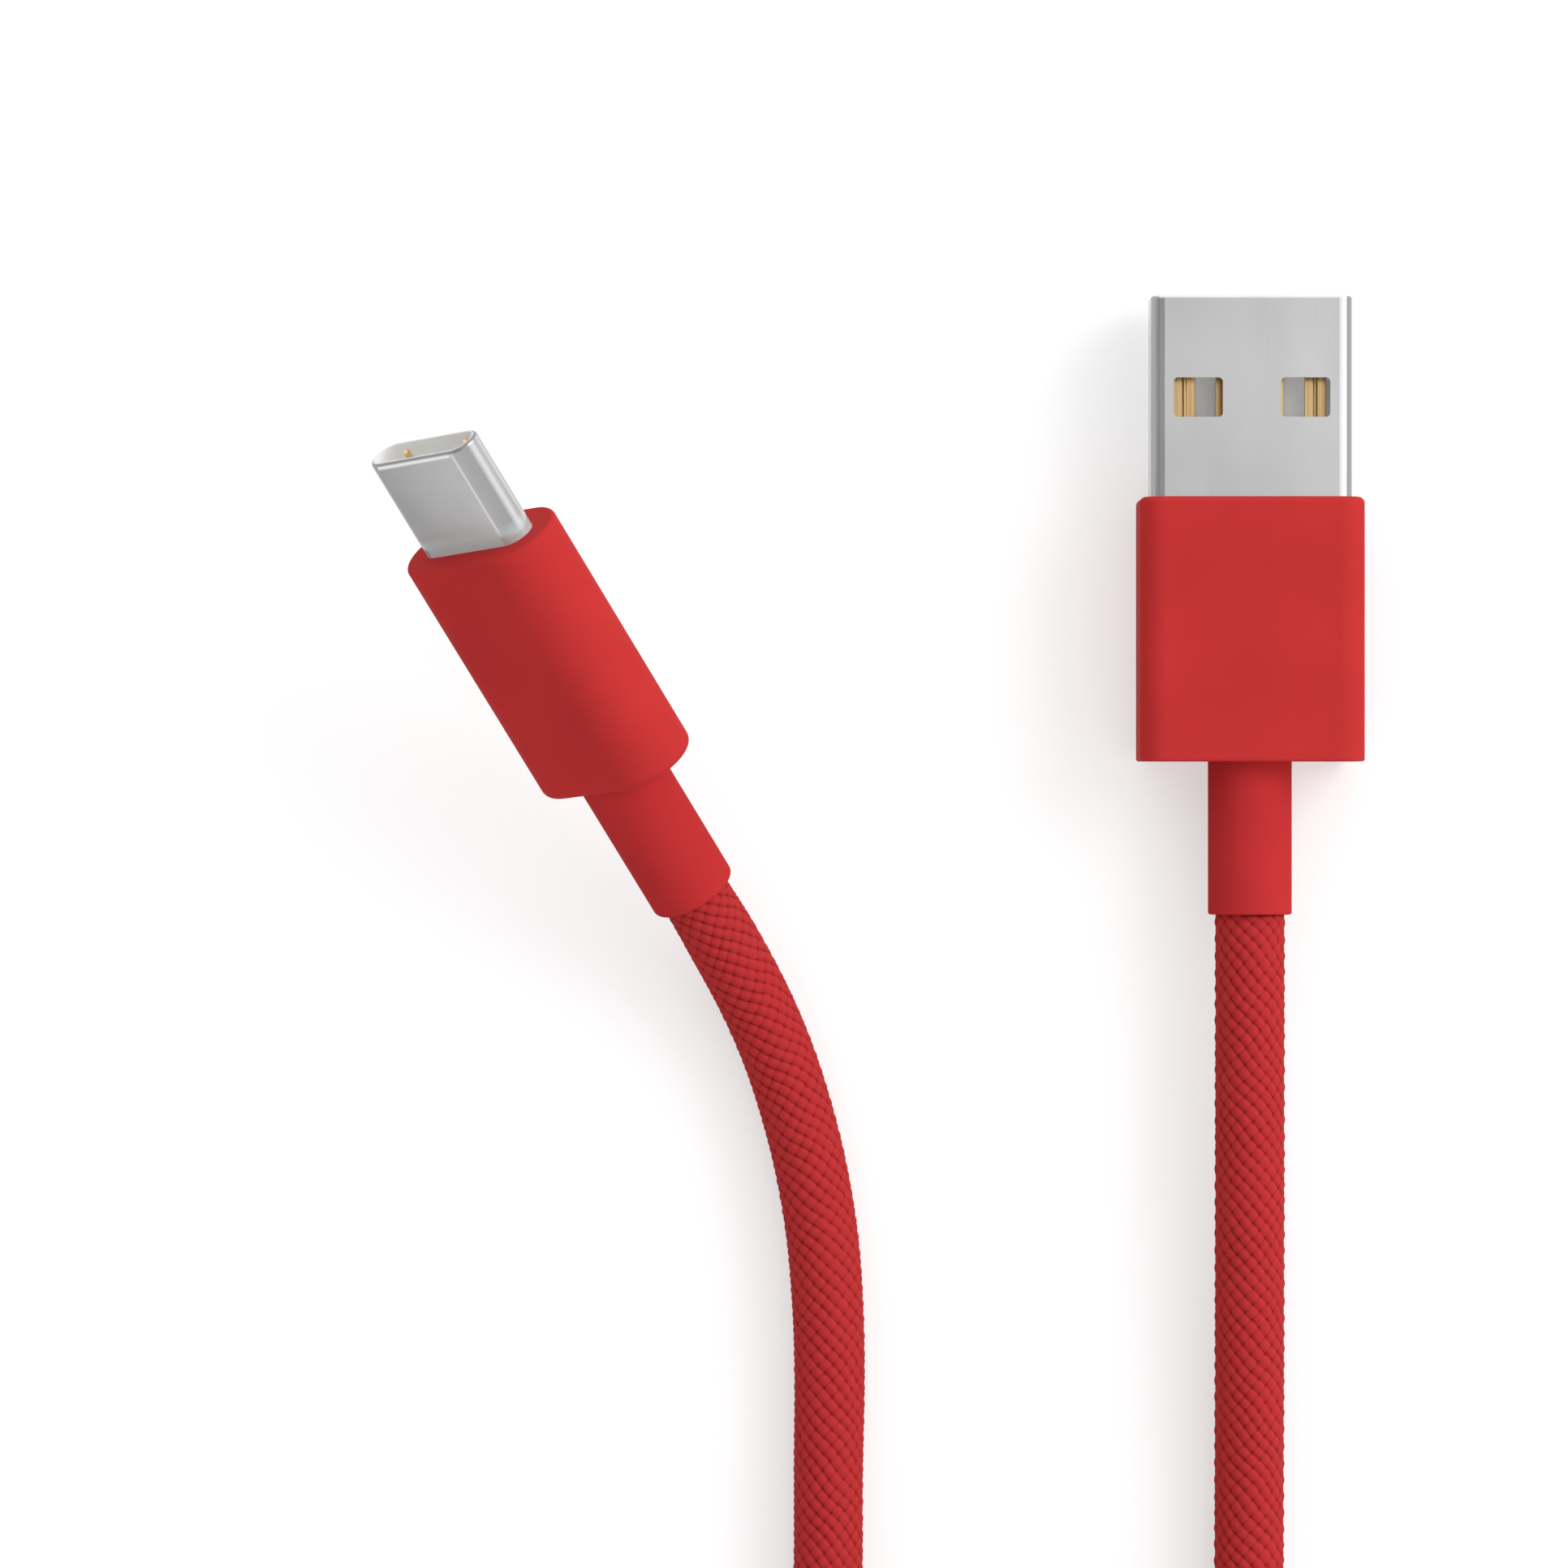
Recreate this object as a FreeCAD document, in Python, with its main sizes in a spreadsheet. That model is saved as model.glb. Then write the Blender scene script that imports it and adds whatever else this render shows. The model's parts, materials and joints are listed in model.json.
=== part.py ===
import FreeCAD, Part
import math
import os
import re

import Sketcher
from FreeCAD import Placement, Rotation, Vector

# A charging cable lying on a table: a flat plug at one end, a small oval plug at the other end,
# and a woven cord between them whose spare length is wound into a coil held by a strap.
# Millimetres. +X is to the right, +Y is the way the flat plug points, +Z is up from the table.
# The origin is on the table under the middle of the flat plug's cover.

SIZES = [
    # cord
    ("cord_diameter", 4.2, "outside of the woven cord"),
    ("jacket_diameter", 3.3, "bared jacket under the weave"),
    ("wire_diameter", 0.7, "insulated conductor"),
    ("wire_pair_offset", 0.42, "inner conductors from the cord's middle"),
    ("wire_outer_offset", 1.2, "outer conductors from the cord's middle"),
    ("slip", 0.02, "gap a side between pieces that slide together"),
    ("crimp_wall", 0.25, "wall of both ferrules"),
    ("jacket_proud", 0.4, "jacket past its ferrule"),
    # flat plug: cover and strain relief
    ("flat_cover_side_wall", 0.71, "cover beside the shell"),
    ("flat_cover_face_wall", 1.45, "cover above and below the shell"),
    ("flat_cover_length", 15.76, "cover, along the plug"),
    ("flat_cover_corner", 1.45, "long edges of the cover"),
    ("flat_cover_front_edge", 0.4, "rounding round the front face"),
    ("flat_cover_rear_edge", 0.15, "rounding round the rear face"),
    ("flat_rear_wall", 1.2, "rear wall of the cover"),
    ("flat_relief_diameter", 5.02, "strain relief, outside"),
    ("flat_relief_length", 9.16, "strain relief behind the cover"),
    ("flat_relief_edge", 0.15, "rounding of its rear rim"),
    ("flat_flange_side_gap", 2.5, "flange to the cavity's sides"),
    ("flat_flange_top_gap", 0.1, "flange to the cavity's top and bottom"),
    ("flat_flange_thickness", 1.2, "flange inside the cover, along"),
    ("flat_crimp_length", 3.2, "ferrule"),
    # flat plug: shell
    ("flat_shell_width", 12.0, "shell, across"),
    ("flat_shell_height", 4.5, "shell, upright"),
    ("flat_shell_wall", 0.3, "sheet of the shell"),
    ("flat_shell_corner", 0.8, "outside bend of the sheet"),
    ("flat_shell_exposed", 12.0, "shell in front of the cover"),
    ("flat_wire_room", 3.32, "conductors between the jacket and the contacts, along"),
    ("window_width", 2.92, "latch window, across"),
    ("window_length", 2.35, "latch window, along"),
    ("window_spacing", 6.4, "between the windows' middles"),
    ("window_setback", 4.88, "mouth to the windows"),
    ("window_corner", 0.25, "rounding of the windows' corners"),
    ("seam_gap", 0.08, "gap of the folded seam"),
    ("seam_tab_depth", 1.1, "dovetail across the seam"),
    ("seam_tab_length", 3.0, "dovetail along the seam"),
    ("seam_tab_flare", 0.3, "undercut of the dovetail"),
    ("seam_tab_setback", 5.0, "mouth to the dovetail"),
    # flat plug: insulator and contacts
    ("tongue_side_gap", 0.1, "tongue to the middle of the bends at the shell's sides"),
    ("tongue_thickness", 1.85, "tongue, upright"),
    ("tongue_clear", 0.05, "tongue above the shell's floor"),
    ("tongue_setback", 0.4, "mouth to the tongue"),
    ("tongue_nose", 0.35, "bevel on the tongue's front"),
    ("stop_setback", 9.6, "mouth to the stop behind the tongue"),
    ("stop_inset", 2.0, "stop's rear face inside the shell's rear end"),
    ("contact_width", 1.25, "flat plug's contacts, across"),
    ("contact_thickness", 0.3, "flat plug's contacts, upright"),
    ("contact_proud", 0.06, "contacts above the tongue"),
    ("contact_rib", 0.08, "rounded rib along each contact, above it"),
    ("contact_tail", 2.2, "contacts behind the stop"),
    ("groove_lip", 0.5, "tongue in front of the grooves"),
    ("power_contact_offset", 3.92, "outer contacts from the middle"),
    ("data_contact_offset", 1.4, "inner contacts from the middle"),
    ("power_contact_setback", 1.0, "tongue's front to the outer contacts"),
    ("data_contact_setback", 2.0, "tongue's front to the inner contacts"),
    # oval plug: place and tilt, from the strain relief's rear end
    ("oval_exit_across", -33.288, "cord exit, X"),
    ("oval_exit_along", -15.673, "cord exit, Y"),
    ("oval_exit_height", 5.376, "cord exit, Z"),
    ("oval_turn_angle", 30.9, "degrees to the left of +Y"),
    ("oval_lift_angle", 22.75, "degrees that the mouth points up"),
    ("oval_roll_angle", -48.41, "degrees about the plug's own axis"),
    # oval plug: cover and strain relief
    ("oval_cover_wall", 0.8, "side wall of the cover"),
    ("oval_cover_length", 16.78, "cover, along the plug"),
    ("oval_cover_front_edge", 0.25, "rounding round the front face"),
    ("oval_cover_rear_edge", 0.5, "rounding round the rear face"),
    ("oval_mould_side", 0.325, "inner mould beside the rear shield"),
    ("oval_mould_face", 0.735, "inner mould over the rear shield"),
    ("oval_front_wall", 1.4, "front wall of the cover"),
    ("oval_rear_wall", 1.0, "rear wall of the cover"),
    ("oval_relief_diameter", 5.25, "strain relief, outside"),
    ("oval_relief_length", 9.32, "strain relief behind the cover"),
    ("oval_relief_edge", 0.25, "rounding of its rear rim"),
    ("oval_flange_side_gap", 1.05, "flange to the cavity's sides"),
    ("oval_flange_thickness", 1.0, "flange inside the cover, along"),
    ("oval_crimp_length", 2.4, "ferrule"),
    ("oval_wire_offset", 0.8, "conductors either side of the card's middle"),
    # oval plug: shell, insulator, springs and card
    ("oval_shell_width", 8.25, "shell, across"),
    ("oval_shell_height", 2.4, "shell, thin way"),
    ("oval_shell_wall", 0.25, "wall of the shell"),
    ("oval_shell_lip", 0.2, "rounding of the shell's lip"),
    ("oval_shell_exposed", 6.7, "shell in front of the cover"),
    ("oval_shell_buried", 3.0, "shell inside the cover"),
    ("housing_setback", 1.3, "lip to the insulator"),
    ("slot_side_wall", 0.325, "insulator beside the slot"),
    ("slot_height", 0.8, "slot in the insulator, thin way"),
    ("slot_depth", 5.0, "slot in the insulator, along"),
    ("latch_thickness", 0.25, "side springs, across"),
    ("latch_height", 0.6, "side springs, thin way"),
    ("latch_tail", 1.2, "side springs behind the insulator"),
    ("pin_width", 0.26, "small contacts, across"),
    ("pin_thickness", 0.15, "small contacts, thin way"),
    ("pin_pitch", 0.5, "between neighbouring places for them"),
    ("pin_setback", 1.0, "insulator's front to the small contacts"),
    ("pin_tail", 1.6, "small contacts behind the insulator"),
    ("finger_offset", 2.5, "ground fingers from the middle"),
    ("finger_width", 0.3, "ground fingers, across"),
    ("finger_thickness", 0.2, "ground fingers, thin way"),
    ("finger_setback", 0.45, "lip to the ground fingers"),
    ("finger_length", 2.6, "ground fingers, along"),
    ("finger_tip", 0.14, "bevel on the ground fingers' tips"),
    ("oval_wire_room", 1.58, "jacket to the circuit board, along"),
    ("resistor_length", 1.0, "resistor, along"),
    ("resistor_width", 0.5, "resistor, across"),
    ("resistor_thickness", 0.35, "resistor, thin way"),
    ("resistor_setback", 3.6, "board's front to the resistor"),
    ("shield_wall", 0.2, "rear shield"),
    ("shield_lap", 1.2, "shield over the shell's rear end"),
    ("shield_tail", 0.8, "shield behind the board"),
    # coil and its strap
    ("coil_across", -17.0, "middle of the coil, X"),
    ("coil_inner_radius", 16.2, "innermost turn, to its middle"),
    ("coil_gap", 0.45, "between neighbouring turns"),
    ("lead_bend", 22.0, "bend of both leads into the coil"),
    ("lead_c_across", -25.2, "oval plug's lead, X beside the coil"),
    ("lead_c_along", -60.8, "oval plug's lead, Y where its bend ends"),
    ("strap_thickness", 0.6, "strap"),
    ("strap_width", 8.0, "strap, round the coil"),
    ("strap_gap", 0.1, "strap to the turns"),
    ("strap_tail", 9.0, "end of the strap lapped on top"),
    ("strap_slack", 0.84, "room in the strap at the coil's inner side"),
]

LAYERS = 4  # turns lie in this many layers
TURNS_IN_LAYER = 2.25  # a spiral reverses after this many turns
LAYER_CHANGE = 0.5  # the line moves to the next layer over this many turns
LEG_SHARE = 0.45  # of the shorter run beside a corner, taken by the corner's arc
GAP_STEP = 1.2  # millimetres between the places where neighbouring turns are measured
NEAR = 1e-4  # millimetres within which an edge counts as lying at a station

# Chosen points of the two free stretches, between a plug's exit and the coil.
LEAD_A_POINTS = [
    (0.0, -34.2, 3.7),
    (0.06, -53.8, 2.1),
]
LEAD_C_POINTS = [
    (-30.683, -20.025, 3.249),
    (-27.8, -26.21, 2.1),
    (-25.68, -34.42, 2.1),
    (-25.08, -42.9, 2.1),
    (-25.25, -50.9, 2.1),
]

doc = FreeCAD.newDocument("charging_cable")
sheet = doc.addObject("Spreadsheet::Sheet", "sizes")
for row, (alias, amount, meaning) in enumerate(SIZES, start=1):
    sheet.set(f"A{row}", meaning)
    sheet.set(f"B{row}", str(amount))
    sheet.setAlias(f"B{row}", alias)
doc.recompute()

WORD = re.compile(r"[a-z][a-z_]+")


def size(alias):
    return float(sheet.get(alias))


def formula(text):
    """An expression for an object, from words of the sheet."""
    return WORD.sub(r"<<sizes>>.\g<0>", text)


def number(text):
    """The same expression's value now."""
    return FreeCAD.Units.Quantity(WORD.sub(lambda word: f"({size(word[0])})", text)).Value


# Outlines, each drawn into a sketch with every size bound to the sheet


def pin_point(sketch, geometry, point, x, y):
    for kind, text in (("DistanceX", x), ("DistanceY", y)):
        fixed = Sketcher.Constraint(kind, -1, 1, geometry, point, number(text))
        index = sketch.addConstraint(fixed)
        sketch.setExpression(f"Constraints[{index}]", formula(text))


def bind_radius(sketch, geometry, text):
    index = sketch.addConstraint(Sketcher.Constraint("Radius", geometry, number(text)))
    sketch.setExpression(f"Constraints[{index}]", formula(text))


def polygon(corners):
    """Straight lines from corner to corner."""

    def draw(sketch):
        places = [Vector(number(x), number(y), 0) for x, y in corners]
        first = sketch.GeometryCount
        count = len(corners)
        for i in range(count):
            sketch.addGeometry(Part.LineSegment(places[i], places[(i + 1) % count]))
        for i in range(count):
            joint = Sketcher.Constraint("Coincident", first + i, 2, first + (i + 1) % count, 1)
            sketch.addConstraint(joint)
        for i, (x, y) in enumerate(corners):
            pin_point(sketch, first + i, 1, x, y)

    return draw


def rectangle(left, bottom, right, top):
    return polygon([(left, bottom), (right, bottom), (right, top), (left, top)])


def circle(diameter, x="0", y="0"):
    def draw(sketch):
        place = Vector(number(x), number(y), 0)
        ring = Part.Circle(place, Vector(0, 0, 1), number(diameter) / 2)
        index = sketch.addGeometry(ring)
        pin_point(sketch, index, 3, x, y)
        bind_radius(sketch, index, f"({diameter}) / 2")

    return draw


def stadium(width, height):
    """Two straight sides and two half circles, about the origin."""

    def draw(sketch):
        radius = number(height) / 2
        middle = number(width) / 2 - radius
        quarter = math.pi / 2
        up = Vector(0, 0, 1)
        right = Part.Circle(Vector(middle, 0, 0), up, radius)
        left = Part.Circle(Vector(-middle, 0, 0), up, radius)
        first = sketch.addGeometry(Part.ArcOfCircle(right, -quarter, quarter))
        sketch.addGeometry(Part.LineSegment(Vector(middle, radius, 0), Vector(-middle, radius, 0)))
        sketch.addGeometry(Part.ArcOfCircle(left, quarter, 3 * quarter))
        sketch.addGeometry(Part.LineSegment(Vector(-middle, -radius, 0), Vector(middle, -radius, 0)))
        for i in range(4):
            sketch.addConstraint(Sketcher.Constraint("Tangent", first + i, 2, first + (i + 1) % 4, 1))
        pin_point(sketch, first, 3, f"({width}) / 2 - ({height}) / 2", "0")
        pin_point(sketch, first + 2, 3, f"({height}) / 2 - ({width}) / 2", "0")
        bind_radius(sketch, first, f"({height}) / 2")

    return draw


def rounded(width, height, radius, x="0", y="0"):
    """A rectangle with round corners, about the point x, y."""

    def draw(sketch):
        bend = number(radius)
        across = number(width) / 2
        upright = number(height) / 2
        middle = Vector(number(x), number(y), 0)
        signs = [(1, 1), (-1, 1), (-1, -1), (1, -1)]
        first = sketch.GeometryCount
        for i, (sx, sy) in enumerate(signs):
            centre = middle + Vector(sx * (across - bend), sy * (upright - bend), 0)
            start = i * math.pi / 2
            ring = Part.Circle(centre, Vector(0, 0, 1), bend)
            sketch.addGeometry(Part.ArcOfCircle(ring, start, start + math.pi / 2))
            nx, ny = signs[(i + 1) % 4]
            end = middle + Vector(nx * (across - bend), ny * (upright - bend), 0)
            out = Vector(math.cos(start + math.pi / 2), math.sin(start + math.pi / 2), 0) * bend
            sketch.addGeometry(Part.LineSegment(centre + out, end + out))
        for i in range(8):
            sketch.addConstraint(Sketcher.Constraint("Tangent", first + i, 2, first + (i + 1) % 8, 1))
        for line, kind in ((1, "Horizontal"), (3, "Vertical"), (5, "Horizontal"), (7, "Vertical")):
            sketch.addConstraint(Sketcher.Constraint(kind, first + line))
        for arc in (2, 4, 6):
            sketch.addConstraint(Sketcher.Constraint("Equal", first, first + arc))
        side = f"(({width}) / 2 - ({radius}))"
        rise = f"(({height}) / 2 - ({radius}))"
        pin_point(sketch, first, 3, f"({x}) + {side}", f"({y}) + {rise}")
        pin_point(sketch, first + 4, 3, f"({x}) - {side}", f"({y}) - {rise}")
        bind_radius(sketch, first, radius)

    return draw


# Pieces, their pads and their cuts

PLANES = {"x": "YZ_Plane", "y": "XZ_Plane", "z": "XY_Plane"}
pieces = []


def piece(label, place):
    body = doc.addObject("PartDesign::Body", label)
    body.Label = label
    place(body)
    pieces.append(body)
    return body


def section(body, name, outlines, station, axis):
    """A sketch square to an axis of the plug, at a station along it."""
    sketch = body.newObject("Sketcher::SketchObject", f"{body.Label}_{name}_outline")
    role = PLANES[axis]
    plane = next(feature for feature in body.Origin.OriginFeatures if feature.Role == role)
    sketch.AttachmentSupport = [(plane, "")]
    sketch.MapMode = "FlatFace"
    side = "-" if axis == "y" else ""
    sketch.setExpression("AttachmentOffset.Base.z", formula(f"{side}({station})"))
    for draw in outlines:
        draw(sketch)
    return sketch


def extrude(kind, body, name, outlines, start, end, axis):
    sketch = section(body, name, outlines, start, axis)
    feature = body.newObject(f"PartDesign::{kind}", f"{body.Label}_{name}")
    feature.Profile = sketch
    feature.setExpression("Length", formula(f"({end}) - ({start})"))
    feature.Reversed = (axis == "y") == (kind == "Pad")
    sketch.Visibility = False
    return feature


def grow(body, name, outlines, start, end, axis="y"):
    return extrude("Pad", body, name, outlines, start, end, axis)


def cut(body, name, outlines, start, end, axis="y"):
    return extrude("Pocket", body, name, outlines, start, end, axis)


def dress(kind, body, name, amount, wanted):
    """Rounds or bevels the edges of the piece so far that the test wants."""
    doc.recompute()
    base = body.Tip
    names = [f"Edge{i}" for i, edge in enumerate(base.Shape.Edges, start=1) if wanted(edge)]
    feature = body.newObject(f"PartDesign::{kind}", f"{body.Label}_{name}")
    feature.Base = (base, names)
    feature.setExpression("Radius" if kind == "Fillet" else "Size", formula(amount))
    return feature


def rim(station):
    """Edges that lie in the face at a station along the plug."""
    level = number(station)
    return lambda edge: abs(edge.BoundBox.YMin - level) + abs(edge.BoundBox.YMax - level) < NEAR


FLAT_COVER_WIDTH = "(flat_shell_width + 2 * flat_cover_side_wall)"
FLAT_COVER_THICKNESS = "(flat_shell_height + 2 * flat_cover_face_wall)"


def on_table(body):
    body.setExpression("Placement.Base.z", formula(f"{FLAT_COVER_THICKNESS} / 2"))


TILT = (
    Rotation(Vector(0, 0, 1), size("oval_turn_angle"))
    * Rotation(Vector(1, 0, 0), size("oval_lift_angle"))
    * Rotation(Vector(0, 1, 0), size("oval_roll_angle"))
)
OVAL_EXIT = Vector(size("oval_exit_across"), size("oval_exit_along"), size("oval_exit_height"))


def tilted(body):
    body.Placement = Placement(OVAL_EXIT, TILT)


# Flat plug. Stations run along it from the middle of the cover, towards the mouth

FLAT_FRONT = "(flat_cover_length / 2)"
FLAT_REAR = "(0 - flat_cover_length / 2)"
FLAT_EXIT = f"({FLAT_REAR} - flat_relief_length)"
FLAT_MOUTH = f"({FLAT_FRONT} + flat_shell_exposed)"
FLAT_CAVITY_REAR = f"({FLAT_REAR} + flat_rear_wall)"
FLAT_FLANGE_FRONT = f"({FLAT_CAVITY_REAR} + flat_flange_thickness)"
FLAT_CRIMP_FRONT = f"({FLAT_FLANGE_FRONT} + flat_crimp_length)"
FLAT_JACKET_FRONT = f"({FLAT_CRIMP_FRONT} + jacket_proud)"
CONTACT_REAR = f"({FLAT_JACKET_FRONT} + flat_wire_room)"
FLAT_STOP_REAR = f"({CONTACT_REAR} + contact_tail)"
FLAT_STOP_FRONT = f"({FLAT_MOUTH} - stop_setback)"
FLAT_SHELL_REAR = f"({FLAT_STOP_REAR} - stop_inset)"
TONGUE_FRONT = f"({FLAT_MOUTH} - tongue_setback)"
TONGUE_BOTTOM = "(flat_shell_wall + tongue_clear - flat_shell_height / 2)"
TONGUE_TOP = f"({TONGUE_BOTTOM} + tongue_thickness)"
CONTACT_TOP = f"({TONGUE_TOP} + contact_proud)"
CONTACT_BOTTOM = f"({CONTACT_TOP} - contact_thickness)"
INNER_WIDTH = "(flat_shell_width - 2 * flat_shell_wall)"
INNER_HEIGHT = "(flat_shell_height - 2 * flat_shell_wall)"
INNER_CORNER = "(flat_shell_corner - flat_shell_wall)"
CRIMP_DIAMETER = "(jacket_diameter + 2 * crimp_wall)"
JACKET_BORE = "(jacket_diameter + 2 * slip)"


def make_flat_shell():
    body = piece("usb_a_shell", on_table)
    outside = rounded("flat_shell_width", "flat_shell_height", "flat_shell_corner")
    grow(body, "tube", [outside], FLAT_SHELL_REAR, FLAT_MOUTH)
    dress("Fillet", body, "lead_in", "flat_shell_wall / 2", rim(FLAT_MOUTH))
    cut(body, "bore", [rounded(INNER_WIDTH, INNER_HEIGHT, INNER_CORNER)], FLAT_SHELL_REAR, FLAT_MOUTH)
    middle = f"({FLAT_MOUTH} - window_setback - window_length / 2)"
    windows = [
        rounded("window_width", "window_length", "window_corner", f"{side} window_spacing / 2", middle)
        for side in ("0 +", "0 -")
    ]
    half = "flat_shell_height / 2"
    cut(body, "windows", windows, f"0 - {half}", half, "z")
    cut(body, "seam", [seam()], f"0 - {half}", f"0 - {half} + flat_shell_wall", "z")


def seam():
    """The slit where the sheet's ends meet, with a dovetail across it."""
    front = f"({FLAT_MOUTH} - seam_tab_setback)"
    rear = f"({front} - seam_tab_length)"
    half = "seam_gap / 2"
    front_half = [
        ("0", f"{FLAT_MOUTH} + seam_gap"),
        ("0", front),
        ("seam_tab_depth", f"{front} + seam_tab_flare"),
    ]
    rear_half = [
        ("seam_tab_depth", f"{rear} - seam_tab_flare"),
        ("0", rear),
        ("0", f"{FLAT_SHELL_REAR} - seam_gap"),
    ]
    there = [(f"{x} - {half}", f"{y} - {half}") for x, y in front_half]
    there += [(f"{x} - {half}", f"{y} + {half}") for x, y in rear_half]
    back = [(f"{x} + {half}", f"{y} - {half}") for x, y in reversed(rear_half)]
    back += [(f"{x} + {half}", f"{y} + {half}") for x, y in reversed(front_half)]
    return polygon(there + back)


def contact_sections(offset, width, bottom, top):
    return [
        rectangle(f"{side} {offset} - ({width}) / 2", bottom, f"{side} {offset} + ({width}) / 2", top)
        for side in ("0 -", "0 +")
    ]


def make_insulator():
    body = piece("usb_a_insulator", on_table)
    stop = rounded(f"{INNER_WIDTH} - 2 * slip", f"{INNER_HEIGHT} - 2 * slip", INNER_CORNER)
    grow(body, "stop", [stop], FLAT_STOP_REAR, FLAT_STOP_FRONT)
    half = f"({INNER_WIDTH} / 2 - {INNER_CORNER} / 2 - tongue_side_gap)"
    tongue = rectangle(f"0 - {half}", TONGUE_BOTTOM, half, TONGUE_TOP)
    grow(body, "tongue", [tongue], f"{FLAT_STOP_FRONT} - slip", TONGUE_FRONT)
    at_front = rim(TONGUE_FRONT)
    reach = number(half)
    dress("Chamfer", body, "nose", "tongue_nose", lambda edge: at_front(edge) and edge.Length > reach)
    front = f"{TONGUE_FRONT} - groove_lip"
    width = "contact_width + 2 * slip"
    for name, offset in (("outer", "power_contact_offset"), ("inner", "data_contact_offset")):
        grooves = contact_sections(offset, width, CONTACT_BOTTOM, f"{CONTACT_TOP} + slip")
        cut(body, f"{name}_grooves", grooves, FLAT_STOP_REAR, front)


def make_flat_contacts(label, offset, setback):
    body = piece(label, on_table)
    bars = contact_sections(offset, "contact_width", CONTACT_BOTTOM, CONTACT_TOP)
    front = f"({TONGUE_FRONT} - {setback})"
    grow(body, "bars", bars, CONTACT_REAR, front)
    level = f"{CONTACT_TOP} + contact_rib - contact_thickness / 2"
    ribs = [circle("contact_thickness", f"{side} {offset}", level) for side in ("0 -", "0 +")]
    grow(body, "ribs", ribs, FLAT_STOP_FRONT, f"{front} - contact_thickness")


def make_flat_cover():
    body = piece("usb_a_cover", on_table)
    outside = rounded(FLAT_COVER_WIDTH, FLAT_COVER_THICKNESS, "flat_cover_corner")
    grow(body, "block", [outside], FLAT_REAR, FLAT_FRONT)
    dress("Fillet", body, "front_edge", "flat_cover_front_edge", rim(FLAT_FRONT))
    dress("Fillet", body, "rear_edge", "flat_cover_rear_edge", rim(FLAT_REAR))
    cavity = rounded("flat_shell_width", "flat_shell_height", "flat_shell_corner")
    cut(body, "cavity", [cavity], FLAT_CAVITY_REAR, FLAT_FRONT)
    cut(body, "bore", [circle("flat_relief_diameter")], FLAT_REAR, FLAT_CAVITY_REAR)


def make_flat_mould():
    body = piece("usb_a_inner_mould", on_table)
    block = rounded("flat_shell_width", "flat_shell_height", "flat_shell_corner")
    grow(body, "block", [block], FLAT_FLANGE_FRONT, FLAT_SHELL_REAR)
    nose = rounded(f"{INNER_WIDTH} - 2 * slip", f"{INNER_HEIGHT} - 2 * slip", INNER_CORNER)
    grow(body, "nose", [nose], f"{FLAT_SHELL_REAR} - slip", FLAT_STOP_REAR)
    half = "(power_contact_offset + contact_width)"
    rise = f"({JACKET_BORE} / 2)"
    chamber = rectangle(f"0 - {half}", f"0 - {rise}", half, rise)
    cut(body, "chamber", [chamber], FLAT_CRIMP_FRONT, FLAT_STOP_REAR)
    cut(body, "ferrule_bore", [circle(CRIMP_DIAMETER)], FLAT_FLANGE_FRONT, FLAT_CRIMP_FRONT)


def make_crimp(label, place, rear, front):
    body = piece(label, place)
    grow(body, "ferrule", [circle(CRIMP_DIAMETER)], rear, front)
    cut(body, "bore", [circle("jacket_diameter")], rear, front)


def make_cord_end(label, place, exit_station, step, front):
    """The cord inside a plug: full width in the strain relief, bared inside the cover."""
    body = piece(label, place)
    grow(body, "woven", [circle("cord_diameter")], exit_station, step)
    grow(body, "bared", [circle("jacket_diameter")], step, front)


def make_relief(label, place, flange, diameter, edge, exit_station, cavity_rear, flange_front):
    body = piece(label, place)
    grow(body, "sleeve", [circle(diameter)], exit_station, cavity_rear)
    dress("Fillet", body, "rear_rim", edge, rim(exit_station))
    grow(body, "flange", [flange], cavity_rear, flange_front)
    cut(body, "cord_bore", [circle("cord_diameter")], exit_station, cavity_rear)
    cut(body, "jacket_bore", [circle("jacket_diameter")], cavity_rear, flange_front)


def make_flat_plug():
    make_flat_shell()
    make_insulator()
    make_flat_contacts("usb_a_power_contacts", "power_contact_offset", "power_contact_setback")
    make_flat_contacts("usb_a_data_contacts", "data_contact_offset", "data_contact_setback")
    make_flat_cover()
    make_flat_mould()
    make_crimp("usb_a_crimp", on_table, FLAT_FLANGE_FRONT, FLAT_CRIMP_FRONT)
    make_cord_end("usb_a_cord_end", on_table, FLAT_EXIT, FLAT_CAVITY_REAR, FLAT_JACKET_FRONT)
    width = "flat_shell_width - 2 * flat_flange_side_gap"
    flange = rounded(width, "flat_shell_height - 2 * flat_flange_top_gap", "flat_shell_corner")
    make_relief(
        "usb_a_strain_relief",
        on_table,
        flange,
        "flat_relief_diameter",
        "flat_relief_edge",
        FLAT_EXIT,
        FLAT_CAVITY_REAR,
        FLAT_FLANGE_FRONT,
    )


# Oval plug. Stations run along it from the cord's exit, towards the mouth

OVAL_COVER_REAR = "(0 + oval_relief_length)"
OVAL_COVER_FRONT = f"({OVAL_COVER_REAR} + oval_cover_length)"
OVAL_MOUTH = f"({OVAL_COVER_FRONT} + oval_shell_exposed)"
OVAL_SHELL_REAR = f"({OVAL_COVER_FRONT} - oval_shell_buried)"
OVAL_CAVITY_REAR = f"({OVAL_COVER_REAR} + oval_rear_wall)"
OVAL_CAVITY_FRONT = f"({OVAL_COVER_FRONT} - oval_front_wall)"
OVAL_FLANGE_FRONT = f"({OVAL_CAVITY_REAR} + oval_flange_thickness)"
OVAL_CRIMP_FRONT = f"({OVAL_FLANGE_FRONT} + oval_crimp_length)"
OVAL_JACKET_FRONT = f"({OVAL_CRIMP_FRONT} + jacket_proud)"
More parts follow.
